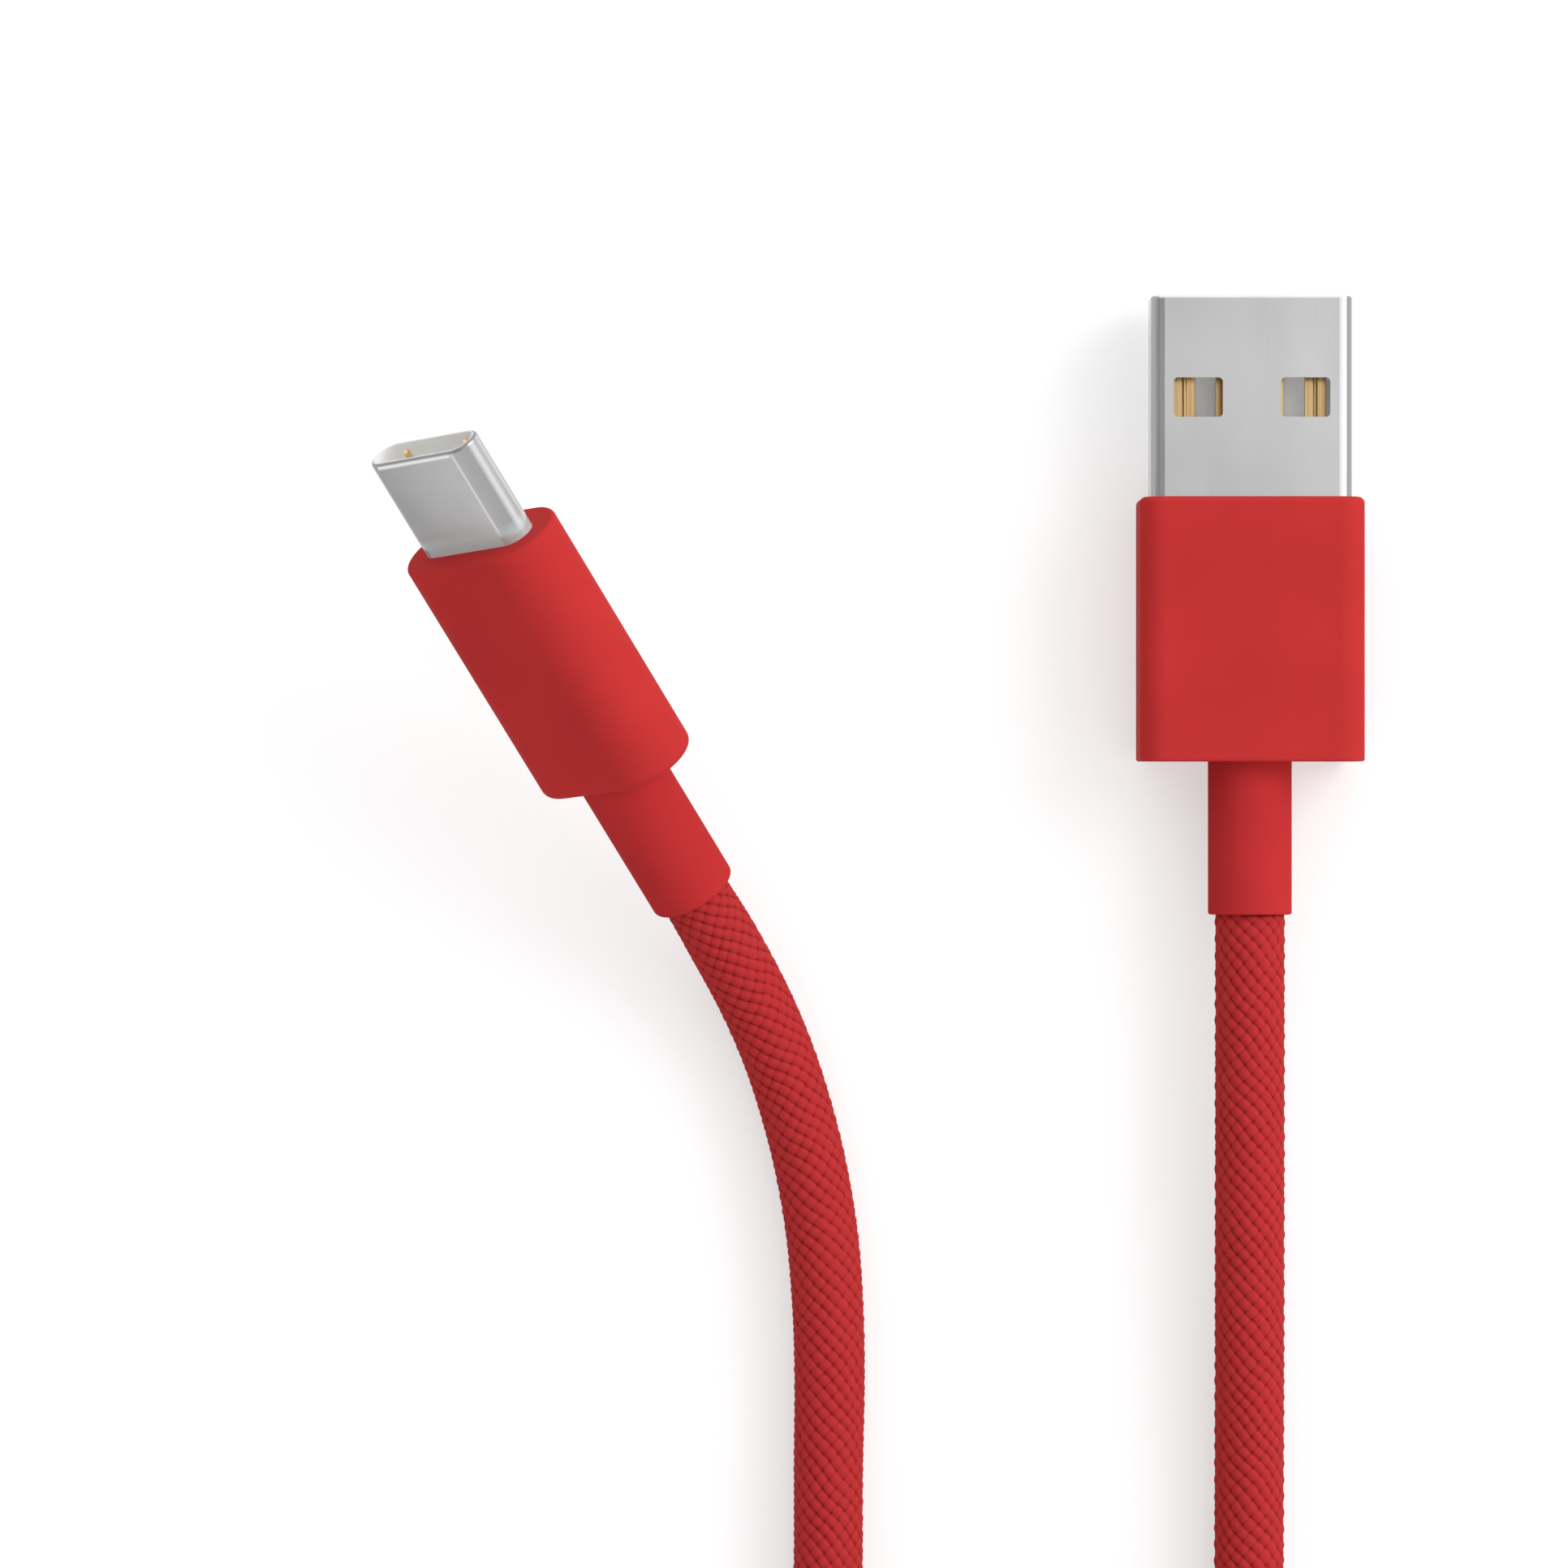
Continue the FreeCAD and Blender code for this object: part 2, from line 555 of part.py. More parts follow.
HOUSING_FRONT = f"({OVAL_MOUTH} - housing_setback)"
CARD_REAR = f"({OVAL_JACKET_FRONT} + oval_wire_room)"
CARD_HALF = "(slot_height / 2)"
SHIELD_FRONT = f"({OVAL_SHELL_REAR} + shield_lap)"
SHIELD_REAR = f"({CARD_REAR} - shield_tail)"
OVAL_INNER_WIDTH = "(oval_shell_width - 2 * oval_shell_wall)"
OVAL_INNER_HEIGHT = "(oval_shell_height - 2 * oval_shell_wall)"
SHIELD_WIDTH = "(oval_shell_width + 2 * shield_wall)"
SHIELD_HEIGHT = "(oval_shell_height + 2 * shield_wall)"
OVAL_CAVITY_WIDTH = f"({SHIELD_WIDTH} + 2 * oval_mould_side)"
OVAL_CAVITY_HEIGHT = f"({SHIELD_HEIGHT} + 2 * oval_mould_face)"
LATCH_OUTER = f"({OVAL_INNER_WIDTH} / 2 - slot_side_wall)"
LATCH_INNER = f"({LATCH_OUTER} - latch_thickness)"
FINGER_OUTER = "(oval_shell_height / 2 - oval_shell_wall)"
FINGER_INNER = f"({FINGER_OUTER} - finger_thickness)"
UPPER_PLACES = (-5.5, -2.5, -1.5, -0.5, 0.5, 2.5, 5.5)
LOWER_PLACES = (-5.5, -2.5, 2.5, 5.5)


def make_oval_shell():
    body = piece("usb_c_shell", tilted)
    grow(body, "tube", [stadium("oval_shell_width", "oval_shell_height")], OVAL_SHELL_REAR, OVAL_MOUTH)
    dress("Fillet", body, "lip", "oval_shell_lip", rim(OVAL_MOUTH))
    cut(body, "bore", [stadium(OVAL_INNER_WIDTH, OVAL_INNER_HEIGHT)], OVAL_SHELL_REAR, OVAL_MOUTH)


def both_walls(left, right, inner, outer):
    """A rectangle at each wide wall of the oval plug."""
    return [
        rectangle(left, inner, right, outer),
        rectangle(left, f"0 - ({outer})", right, f"0 - ({inner})"),
    ]


def finger_sections(slack):
    sections = []
    for side in ("0 -", "0 +"):
        left = f"{side} finger_offset - finger_width / 2 - {slack}"
        right = f"{side} finger_offset + finger_width / 2 + {slack}"
        sections += both_walls(left, right, f"{FINGER_INNER} - {slack}", f"{FINGER_OUTER}")
    return sections


def pin_sections(places, side, slack):
    inner = CARD_HALF
    outer = f"({CARD_HALF} + pin_thickness + {slack})"
    low, high = (inner, outer) if side > 0 else (f"0 - {outer}", f"0 - {inner}")
    sections = []
    for place in places:
        left = f"{place} * pin_pitch - pin_width / 2 - {slack}"
        right = f"{place} * pin_pitch + pin_width / 2 + {slack}"
        sections.append(rectangle(left, low, right, high))
    return sections


def latch_sections(inner, outer, height):
    return [
        rectangle(inner, f"0 - {height} / 2", outer, f"{height} / 2"),
        rectangle(f"0 - ({outer})", f"0 - {height} / 2", f"0 - ({inner})", f"{height} / 2"),
    ]


def make_housing():
    body = piece("usb_c_housing", tilted)
    outline = stadium(f"{OVAL_INNER_WIDTH} - 2 * slip", f"{OVAL_INNER_HEIGHT} - 2 * slip")
    grow(body, "block", [outline], OVAL_SHELL_REAR, HOUSING_FRONT)
    slot = rectangle(f"0 - {LATCH_OUTER}", f"0 - {CARD_HALF}", LATCH_OUTER, CARD_HALF)
    cut(body, "slot", [slot], f"{HOUSING_FRONT} - slot_depth", HOUSING_FRONT)
    latches = latch_sections(f"{LATCH_INNER} - slip", LATCH_OUTER, "latch_height")
    cut(body, "latch_channels", latches, OVAL_SHELL_REAR, HOUSING_FRONT)
    pin_front = f"{HOUSING_FRONT} - pin_setback + slip"
    cut(body, "upper_channels", pin_sections(UPPER_PLACES, 1, "slip"), OVAL_SHELL_REAR, pin_front)
    cut(body, "lower_channels", pin_sections(LOWER_PLACES, -1, "slip"), OVAL_SHELL_REAR, pin_front)
    finger_rear = f"{OVAL_MOUTH} - finger_setback - finger_length"
    cut(body, "finger_channels", finger_sections("slip"), finger_rear, HOUSING_FRONT)


def make_pins(label, places, side):
    body = piece(label, tilted)
    bars = pin_sections(places, side, "0")
    grow(body, "bars", bars, f"{OVAL_SHELL_REAR} - pin_tail", f"{HOUSING_FRONT} - pin_setback")


def make_ground_fingers():
    body = piece("usb_c_ground_fingers", tilted)
    front = f"({OVAL_MOUTH} - finger_setback)"
    grow(body, "bars", finger_sections("0"), f"{front} - finger_length", front)
    at_front = rim(front)
    inner = number(FINGER_INNER)

    def faces_slot(edge):
        return at_front(edge) and abs(abs(edge.CenterOfMass.z) - inner) < NEAR

    dress("Chamfer", body, "tips", "finger_tip", faces_slot)


def make_latches():
    body = piece("usb_c_latches", tilted)
    bars = latch_sections(LATCH_INNER, LATCH_OUTER, "(latch_height - 2 * slip)")
    grow(body, "bars", bars, f"{OVAL_SHELL_REAR} - latch_tail", f"{HOUSING_FRONT} - latch_thickness")


def make_card():
    body = piece("usb_c_card", tilted)
    board = rectangle(f"0 - {LATCH_INNER}", f"0 - {CARD_HALF}", LATCH_INNER, CARD_HALF)
    grow(body, "board", [board], CARD_REAR, OVAL_SHELL_REAR)


def make_resistor():
    body = piece("usb_c_resistor", tilted)
    front = f"({OVAL_SHELL_REAR} - resistor_setback)"
    outline = rectangle(
        "0 - resistor_width / 2", CARD_HALF, "resistor_width / 2", f"{CARD_HALF} + resistor_thickness"
    )
    grow(body, "chip", [outline], f"{front} - resistor_length", front)


def make_rear_shield():
    body = piece("usb_c_rear_shield", tilted)
    grow(body, "can", [stadium(SHIELD_WIDTH, SHIELD_HEIGHT)], SHIELD_REAR, SHIELD_FRONT)
    cut(body, "bore", [stadium("oval_shell_width", "oval_shell_height")], SHIELD_REAR, SHIELD_FRONT)


def make_oval_cover():
    body = piece("usb_c_cover", tilted)
    outside = stadium(
        f"{OVAL_CAVITY_WIDTH} + 2 * oval_cover_wall", f"{OVAL_CAVITY_HEIGHT} + 2 * oval_cover_wall"
    )
    grow(body, "block", [outside], OVAL_COVER_REAR, OVAL_COVER_FRONT)
    dress("Fillet", body, "front_edge", "oval_cover_front_edge", rim(OVAL_COVER_FRONT))
    dress("Fillet", body, "rear_edge", "oval_cover_rear_edge", rim(OVAL_COVER_REAR))
    mouth = stadium("oval_shell_width", "oval_shell_height")
    cut(body, "shell_hole", [mouth], OVAL_CAVITY_FRONT, OVAL_COVER_FRONT)
    cut(body, "cord_hole", [circle("oval_relief_diameter")], OVAL_COVER_REAR, OVAL_CAVITY_REAR)
    cavity = stadium(OVAL_CAVITY_WIDTH, OVAL_CAVITY_HEIGHT)
    cut(body, "cavity", [cavity], OVAL_CAVITY_REAR, OVAL_CAVITY_FRONT)


def make_oval_mould():
    body = piece("usb_c_inner_mould", tilted)
    block = stadium(OVAL_CAVITY_WIDTH, OVAL_CAVITY_HEIGHT)
    grow(body, "block", [block], OVAL_FLANGE_FRONT, OVAL_CAVITY_FRONT)
    shell = stadium("oval_shell_width", "oval_shell_height")
    cut(body, "shell_bore", [shell], SHIELD_FRONT, OVAL_CAVITY_FRONT)
    cut(body, "shield_bore", [stadium(SHIELD_WIDTH, SHIELD_HEIGHT)], SHIELD_REAR, SHIELD_FRONT)
    cut(body, "chamber", [circle(JACKET_BORE)], OVAL_CRIMP_FRONT, SHIELD_REAR)
    cut(body, "ferrule_bore", [circle(CRIMP_DIAMETER)], OVAL_FLANGE_FRONT, OVAL_CRIMP_FRONT)


def make_straight_wire(label, side, face):
    """A conductor from the jacket's end to a pad on one face of the card."""
    body = piece(label, tilted)
    x = f"{side} * oval_wire_offset"
    z = f"{face} * ({CARD_HALF} + wire_diameter / 2)"
    front = f"{CARD_REAR} + 2 * wire_diameter"
    grow(body, "conductor", [circle("wire_diameter", x, z)], OVAL_JACKET_FRONT, front)


def make_oval_plug():
    make_oval_shell()
    make_housing()
    make_pins("usb_c_upper_contacts", UPPER_PLACES, 1)
    make_pins("usb_c_lower_contacts", LOWER_PLACES, -1)
    make_ground_fingers()
    make_latches()
    make_card()
    make_resistor()
    make_rear_shield()
    make_oval_cover()
    make_oval_mould()
    make_crimp("usb_c_crimp", tilted, OVAL_FLANGE_FRONT, OVAL_CRIMP_FRONT)
    make_cord_end("usb_c_cord_end", tilted, "0", OVAL_CAVITY_REAR, OVAL_JACKET_FRONT)
    make_relief(
        "usb_c_strain_relief",
        tilted,
        stadium(f"{OVAL_CAVITY_WIDTH} - 2 * oval_flange_side_gap", OVAL_CAVITY_HEIGHT),
        "oval_relief_diameter",
        "oval_relief_edge",
        "0",
        OVAL_CAVITY_REAR,
        OVAL_FLANGE_FRONT,
    )
    make_straight_wire("usb_c_red_wire", -1, 1)
    make_straight_wire("usb_c_white_wire", 1, 1)
    make_straight_wire("usb_c_green_wire", -1, -1)
    make_straight_wire("usb_c_black_wire", 1, -1)


# Tubes that follow a path: conductors of the flat plug, free cord and coil


def tube(label, path, diameter, place=None):
    """A round tube along a wire of lines and arcs, as one unbroken pipe shell."""
    start = path.Edges[0].firstVertex().Point
    if path.Edges[0].Orientation == "Reversed":
        start = path.Edges[0].lastVertex().Point
    heading = path.Edges[0].tangentAt(path.Edges[0].FirstParameter)
    ring = Part.Wire([Part.Circle(start, heading, diameter / 2).toShape()])
    solid = path.makePipeShell([ring], True, False)
    feature = doc.addObject("Part::Feature", label)
    feature.Label = label
    feature.Shape = solid
    if place:
        feature.Placement = place
    pieces.append(feature)
    wanted = math.pi * diameter**2 / 4 * path.Length
    print(f"{label}: {path.Length:.1f} mm long, volume {solid.Volume / wanted:.4f} of section times length")
    return feature


def arc_between(start, corner, end):
    """The arc that touches both legs of an even corner."""
    chord = (start + end) * 0.5
    weight = (start - chord).Length / (start - corner).Length
    apex = (chord + corner * weight) * (1 / (1 + weight))
    return Part.Arc(start, apex, end).toShape()


def make_bent_wire(label, side, offset, inner_offset):
    """A conductor of the flat plug, from its contact's tail in to the jacket."""
    rear = number(FLAT_JACKET_FRONT)
    front = number(CONTACT_REAR)
    level = number(f"({CONTACT_TOP} + {CONTACT_BOTTOM}) / 2")
    outer = Vector(side * size(offset), front, level)
    inner = Vector(side * size(inner_offset), rear, level)
    middle = (outer + inner) * 0.5
    half = middle - outer
    leg = half.Length**2 / (2 * abs(half.y))
    back = Vector(0, -leg, 0)
    path = Part.Wire([
        arc_between(outer, outer + back, middle),
        arc_between(middle, inner - back, inner),
    ])
    height = Placement(Vector(0, 0, number(FLAT_COVER_THICKNESS) / 2), Rotation())
    tube(label, path, size("wire_diameter"), height)


def rounded_route(name, points):
    """Straight runs joined by tangent arcs, each as large as its two runs allow."""
    edges = []
    radii = []
    last = points[0]
    for before, here, after in zip(points, points[1:], points[2:]):
        back = before - here
        ahead = after - here
        turn = math.pi - back.getAngle(ahead)
        leg = LEG_SHARE * min(back.Length, ahead.Length)
        radii.append(leg / math.tan(turn / 2))
        start = here + back.normalize() * leg
        end = here + ahead.normalize() * leg
        edges.append(Part.LineSegment(last, start).toShape())
        edges.append(arc_between(start, here, end))
        last = end
    edges.append(Part.LineSegment(last, points[-1]).toShape())
    print(f"{name}: radii", ", ".join(f"{radius:.0f}" for radius in radii))
    return Part.Wire(edges)


def biarc(start, way_in, end, way_out):
    """Two arcs from one point and heading to another."""
    span = end - start
    ways = way_in + way_out
    spread = 1 - way_in.dot(way_out)
    if spread < 1e-9:
        leg = span.Length**2 / (4 * span.dot(way_out))
    else:
        along = span.dot(ways)
        leg = (math.sqrt(along**2 + 2 * spread * span.dot(span)) - along) / (2 * spread)
    first = start + way_in * leg
    second = end - way_out * leg
    middle = (first + second) * 0.5
    return [arc_between(start, first, middle), arc_between(middle, second, end)]


class Coil:
    """The coil's line by turns: clockwise from its right side, in and out in layers."""

    def __init__(self):
        self.radius = size("cord_diameter") / 2
        self.pitch = size("cord_diameter") + size("coil_gap")
        self.inner = size("coil_inner_radius")
        self.outer = self.inner + TURNS_IN_LAYER * self.pitch
        self.last = self.outer + self.pitch
        self.top = LAYERS * TURNS_IN_LAYER
        self.down = self.top + LAYER_CHANGE
        self.lift = size("strap_thickness") + size("strap_gap")
        bend = size("lead_bend")
        x = size("coil_across")
        leave_x = size("lead_c_across") - bend
        leave_y = size("lead_c_along")
        reach = self.last + bend
        self.centre = Vector(x, leave_y - math.sqrt(reach**2 - (x - leave_x) ** 2), 0)
        self.leave = math.acos((x - leave_x) / reach) / (2 * math.pi)
        join_reach = self.outer + bend
        self.join = -math.acos((bend - x) / join_reach) / (2 * math.pi)
        join_y = self.centre.y + math.sqrt(join_reach**2 - (bend - x) ** 2)
        self.entry = Vector(0, join_y, self.radius)
        self.exit = Vector(size("lead_c_across"), leave_y, self.radius)

    def reach(self, turn):
        """The line's distance from the coil's middle."""
        if turn < 0:
            return self.outer - self.pitch * turn
        if turn > self.down:
            return self.last
        aside = self.pitch / 2 * self.ramp(turn, self.top - LAYER_CHANGE / 2, LAYER_CHANGE)
        if turn > self.top:
            return self.outer + self.pitch * (turn - self.top) + aside
        swing = turn % (2 * TURNS_IN_LAYER)
        return self.inner + self.pitch * abs(swing - TURNS_IN_LAYER) + aside

    def height(self, turn, across):
        """The line's height: a layer up where the spiral reverses, and tilted up on the strap."""
        tilt = self.lift * (0.5 + 0.5 * across / self.inner)
        half = LAYER_CHANGE / 2
        changes = [TURNS_IN_LAYER * k - half for k in range(1, LAYERS)]
        layers = sum(self.ramp(turn, start, LAYER_CHANGE) for start in changes)
        up = self.ramp(turn, self.join, -self.join)
        down = 1 - self.ramp(turn, self.down - half, half)
        return self.radius + (tilt * up + layers * self.pitch) * down

    @staticmethod
    def ramp(turn, start, long):
        share = min(1, max(0, (turn - start) / long))
        return 0.5 - 0.5 * math.cos(math.pi * share)

    def point(self, turn):
        reach = self.reach(turn)
        angle = 2 * math.pi * turn
        across = -math.sin(angle)
        flat = Vector(math.cos(angle), across, 0) * reach
        return self.centre + flat + Vector(0, 0, self.height(turn, across * self.inner))

    def heading(self, turn):
        step = 0.01
        return (self.point(turn + step) - self.point(turn - step)).normalize()

    def path(self):
        straight = Vector(0, size("cord_diameter"), 0)
        down = Vector(0, -1, 0)
        quarters = [0.25 * k for k in range(round(4 * self.down) + 1)]
        turns = [self.join, *quarters, self.down + self.leave]
        stops = [(self.entry, down)]
        stops += [(self.point(turn), self.heading(turn)) for turn in turns]
        stops.append((self.exit, -down))
        edges = [Part.LineSegment(self.entry + straight, self.entry).toShape()]
        for (start, way_in), (end, way_out) in zip(stops, stops[1:]):
            edges += biarc(start, way_in, end, way_out)
        edges.append(Part.LineSegment(self.exit, self.exit + straight).toShape())
        return Part.Wire(edges)


def least_gap(path, diameter):
    """The least space between two stretches of a wound tube."""
    points = path.discretize(Distance=GAP_STEP)
    apart = int(3 * diameter / GAP_STEP)
    best = min(
        points[i].distanceToPoint(points[j])
        for i in range(len(points))
        for j in range(i + apart, len(points))
    )
    return best - diameter


def make_cord():
    coil = Coil()
    diameter = size("cord_diameter")
    path = coil.path()
    ends = [path.Edges[0].firstVertex().Point, path.Edges[-1].lastVertex().Point]
    tube("cord_coil", path, diameter)
    print(f"cord_coil: least gap {least_gap(path, diameter):.2f} mm")
    flat_exit = Vector(0, number(FLAT_EXIT), number(FLAT_COVER_THICKNESS) / 2)
    lead_a = [flat_exit, *(Vector(*point) for point in LEAD_A_POINTS), ends[0]]
    lead_c = [OVAL_EXIT, *(Vector(*point) for point in LEAD_C_POINTS), ends[1]]
    total = path.Length
    for label, points in (("cord_lead_a", lead_a), ("cord_lead_c", lead_c)):
        route = rounded_route(label, points)
        total += route.Length
        tube(label, route, diameter)
    print(f"cord: {total:.0f} mm from exit to exit")
    make_strap(coil)


def make_strap(coil):
    """The strap lies across the bundle of turns, at the side of the coil towards the plugs."""

    def place(body):
        body.Placement = Placement(Vector(coil.centre.x, coil.centre.y, 0), Rotation())

    body = piece("coil_tie", place)
    turns = f"({TURNS_IN_LAYER - 0.25} * (cord_diameter + coil_gap) + cord_diameter)"
    width = f"({turns} + 2 * strap_gap + 2 * strap_thickness + strap_slack)"
    middle = f"(coil_inner_radius + {turns} / 2 - cord_diameter / 2 - strap_slack / 2)"
    stack = f"({LAYERS} * cord_diameter + {LAYERS - 1} * coil_gap)"
    height = f"({stack} + strap_gap * 2 + 2 * strap_thickness)"
    bend = "(cord_diameter / 2)"
    outside = rounded(width, height, bend, middle, f"{height} / 2")
    inside = rounded(
        f"{width} - 2 * strap_thickness",
        f"{height} - 2 * strap_thickness",
        f"{bend} - strap_thickness",
        middle,
        f"{height} / 2",
    )
    half = "strap_width / 2"
    grow(body, "band", [outside], f"0 - {half}", half, "x")
    cut(body, "inside", [inside], f"0 - {half}", half, "x")
    tail = rectangle(
        f"{middle} - strap_tail / 2", height, f"{middle} + strap_tail / 2", f"{height} + strap_thickness"
    )
    grow(body, "tail", [tail], f"0 - {half}", half, "x")


def check_and_export():
    doc.recompute()
    bad = [item.Name for item in doc.Objects if {"Invalid", "Error"} & set(item.State)]
    bad += [item.Label for item in pieces if item.Shape.isNull() or not item.Shape.isValid()]
    if bad:
        raise RuntimeError("these did not build: " + ", ".join(bad))
    os.makedirs("parts", exist_ok=True)
    for item in pieces:
        item.Shape.exportStep(f"parts/{item.Label}.step")
        box = item.Shape.BoundBox
        print(
            f"{item.Label}: {len(item.Shape.Solids)} solids, {item.Shape.Volume:.2f} mm3,"
            f" x {box.XMin:.2f} {box.XMax:.2f} y {box.YMin:.2f} {box.YMax:.2f}"
            f" z {box.ZMin:.2f} {box.ZMax:.2f}"
        )


make_flat_plug()
make_bent_wire("usb_a_red_wire", 1, "power_contact_offset", "wire_outer_offset")
make_bent_wire("usb_a_white_wire", 1, "data_contact_offset", "wire_pair_offset")
make_bent_wire("usb_a_green_wire", -1, "data_contact_offset", "wire_pair_offset")
make_bent_wire("usb_a_black_wire", -1, "power_contact_offset", "wire_outer_offset")
make_oval_plug()
make_cord()
check_and_export()
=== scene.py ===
import json
import math

import bmesh
import bpy
from bpy.props import FloatProperty, FloatVectorProperty, IntProperty, PointerProperty
from bpy.types import Operator, Panel, PropertyGroup
from mathutils import Matrix, Vector


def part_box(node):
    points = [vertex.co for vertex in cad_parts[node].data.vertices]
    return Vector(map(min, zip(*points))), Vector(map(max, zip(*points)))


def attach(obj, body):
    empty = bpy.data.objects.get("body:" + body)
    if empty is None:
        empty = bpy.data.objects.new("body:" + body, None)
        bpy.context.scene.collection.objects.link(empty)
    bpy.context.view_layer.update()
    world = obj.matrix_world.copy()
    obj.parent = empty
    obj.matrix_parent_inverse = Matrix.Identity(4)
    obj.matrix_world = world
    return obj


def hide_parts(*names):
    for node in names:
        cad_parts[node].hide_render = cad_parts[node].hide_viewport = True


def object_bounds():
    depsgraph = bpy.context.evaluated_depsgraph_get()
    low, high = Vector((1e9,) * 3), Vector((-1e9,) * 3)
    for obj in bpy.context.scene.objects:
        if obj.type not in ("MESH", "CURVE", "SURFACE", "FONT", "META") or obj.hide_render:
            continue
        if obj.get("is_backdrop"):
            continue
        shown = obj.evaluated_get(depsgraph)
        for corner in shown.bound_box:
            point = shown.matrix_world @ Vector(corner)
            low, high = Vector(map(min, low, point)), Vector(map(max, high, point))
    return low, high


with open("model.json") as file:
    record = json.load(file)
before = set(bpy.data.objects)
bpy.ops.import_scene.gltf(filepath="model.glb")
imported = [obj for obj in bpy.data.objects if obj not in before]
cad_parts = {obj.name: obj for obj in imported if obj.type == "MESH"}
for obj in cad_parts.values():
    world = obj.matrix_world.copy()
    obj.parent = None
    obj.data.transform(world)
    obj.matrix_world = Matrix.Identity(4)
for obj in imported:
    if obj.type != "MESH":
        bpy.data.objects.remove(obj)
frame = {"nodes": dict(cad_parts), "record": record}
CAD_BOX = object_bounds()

bl_info = {
    "name": "Charging Cable",
    "version": (1, 0, 0),
    "blender": (4, 5, 0),
    "location": "View3D > Sidebar > Cable",
    "description": "Weaves the cord, ties the coil and finishes the plugs of a charging cable",
    "category": "Object",
}

MM = 0.001  # lengths are in metres
MICRON = 0.001 * MM

# The cord's route, from the flat plug's sleeve to the coil and from the coil to the oval plug's
FLAT_EXIT = (0.0, -0.01704, 0.0037)
OVAL_EXIT = (-0.033288, -0.015673, 0.005376)
LEAD_FROM_FLAT_PLUG = [
    FLAT_EXIT,
    (0.0, -0.0342, 0.0037),
    (0.00006, -0.0538, 0.0021),
    (0.0, -0.07143, 0.0021),
]
LEAD_TO_OVAL_PLUG = [
    (-0.0252, -0.0566, 0.0021),
    (-0.02525, -0.0509, 0.0021),
    (-0.02508, -0.0429, 0.0021),
    (-0.02568, -0.03442, 0.0021),
    (-0.0278, -0.02621, 0.0021),
    (-0.030623, -0.019995, 0.003249),
    OVAL_EXIT,
]

# The oval plug's own axes: degrees to the left, up, and about itself
OVAL_LEAN = (30.9, 22.75, -48.41)

# The oval shell in those axes, with Y from the cord's exit to the plug's mouth
SHELL_WIDTH = 8.25 * MM
SHELL_HEIGHT = 2.4 * MM
SHELL_INSIDE = 1.02 * MM  # nearer than this to its middle line is its lining
SHELL_FOOT = 26.1 * MM
SHELL_MOUTH = 32.8 * MM

FLAT_FACE_HALF = 5.6 * MM  # from the flat shell's middle to the bends of its sides


# Settings that a user would change


def kind_of(make, **kind):
    """A kind of setting, which then takes a name, a description and a default."""
    return lambda name, description, default, **more: make(
        name=name, description=description, default=default, **kind, **more
    )


coordinate = kind_of(FloatProperty, unit="LENGTH", precision=5)
distance = kind_of(FloatProperty, unit="LENGTH", precision=5, min=0.0)
angle = kind_of(FloatProperty, subtype="ANGLE")
focal = kind_of(FloatProperty, unit="CAMERA", min=1.0)
turns = kind_of(FloatProperty, min=0.0)
count = kind_of(IntProperty)
share = kind_of(FloatProperty, subtype="FACTOR", min=0.0, max=1.0)
colour = kind_of(FloatVectorProperty, subtype="COLOR", size=3, min=0.0, max=1.0)


def group(name, description, kind):
    return PointerProperty(name=name, description=description, type=kind)


class StudioSettings(PropertyGroup):
    view_across: coordinate("View Across", "Camera's place in X", -0.02789)
    view_along: coordinate("View Along", "Camera's place in Y", -0.00923)
    view_height: distance("View Height", "Camera above the floor", 0.4537)
    lens: focal("Lens", "Focal length", 172.56)
    lamp_distance: distance("Lamp Distance", "Lamp from the plugs", 1.6)
    lamp_size: distance("Lamp Size", "Side of the soft lamp", 0.9)
    lamp_turn: angle("Lamp Turn", "Lamp's way round from +X", math.radians(28))
    lamp_rise: angle("Lamp Rise", "Lamp above the floor", math.radians(34))
    lamp_level: share("Lamp Level", "Brightness of white that faces the lamp", 0.38)
    floor_size: distance("Floor Size", "Side of the floor", 6.0)
    floor_colour: colour("Floor Colour", "Pale floor", (0.62, 0.62, 0.62))
    floor_lift: share("Floor Lift", "Brightness that brings the floor to white", 0.48)


class CordSettings(PropertyGroup):
    diameter: distance("Diameter", "Outside of the woven sleeve", 0.0042)
    length: distance("Length", "Cord from plug to plug", 1.5)
    strands: count("Strands", "Strands wound each way", 14, min=6, max=32)
    strand_rise: distance("Strand Rise", "Length between neighbouring strands", 0.000985)
    groove: distance("Groove", "Depth between strands of the leading set", 0.00013)
    notch: distance("Notch", "Depth between strands of the crossing set", 0.00008)
    crown: colour("Crown Colour", "Yarn at the top of a strand", (0.495, 0.03, 0.032))
    # The hollow colour is painted shade in the grooves between the strands
    hollow: colour("Hollow Colour", "Yarn between the strands", (0.25, 0.007, 0.008))


class CoilSettings(PropertyGroup):
    across: coordinate("Across", "Coil's middle, X", -0.017)
    inner_radius: distance("Inner Radius", "Innermost turn, to its middle", 0.0162)
    gap: distance("Gap", "Between neighbouring turns", 0.00045)
    layers: count("Layers", "Layers of turns", 4, min=1, max=8)
    turns_in_layer: turns("Turns in Layer", "Turns before a spiral reverses", 2.25)
    layer_change: turns("Layer Change", "Turns over which the cord climbs a layer", 0.5)
    lead_bend: distance("Lead Bend", "Bend of both leads into the coil", 0.022)
    leave_across: coordinate("Leave Across", "Oval plug's lead, X beside the coil", -0.0252)
    leave_along: coordinate("Leave Along", "Oval plug's lead, Y at its bend", -0.0608)


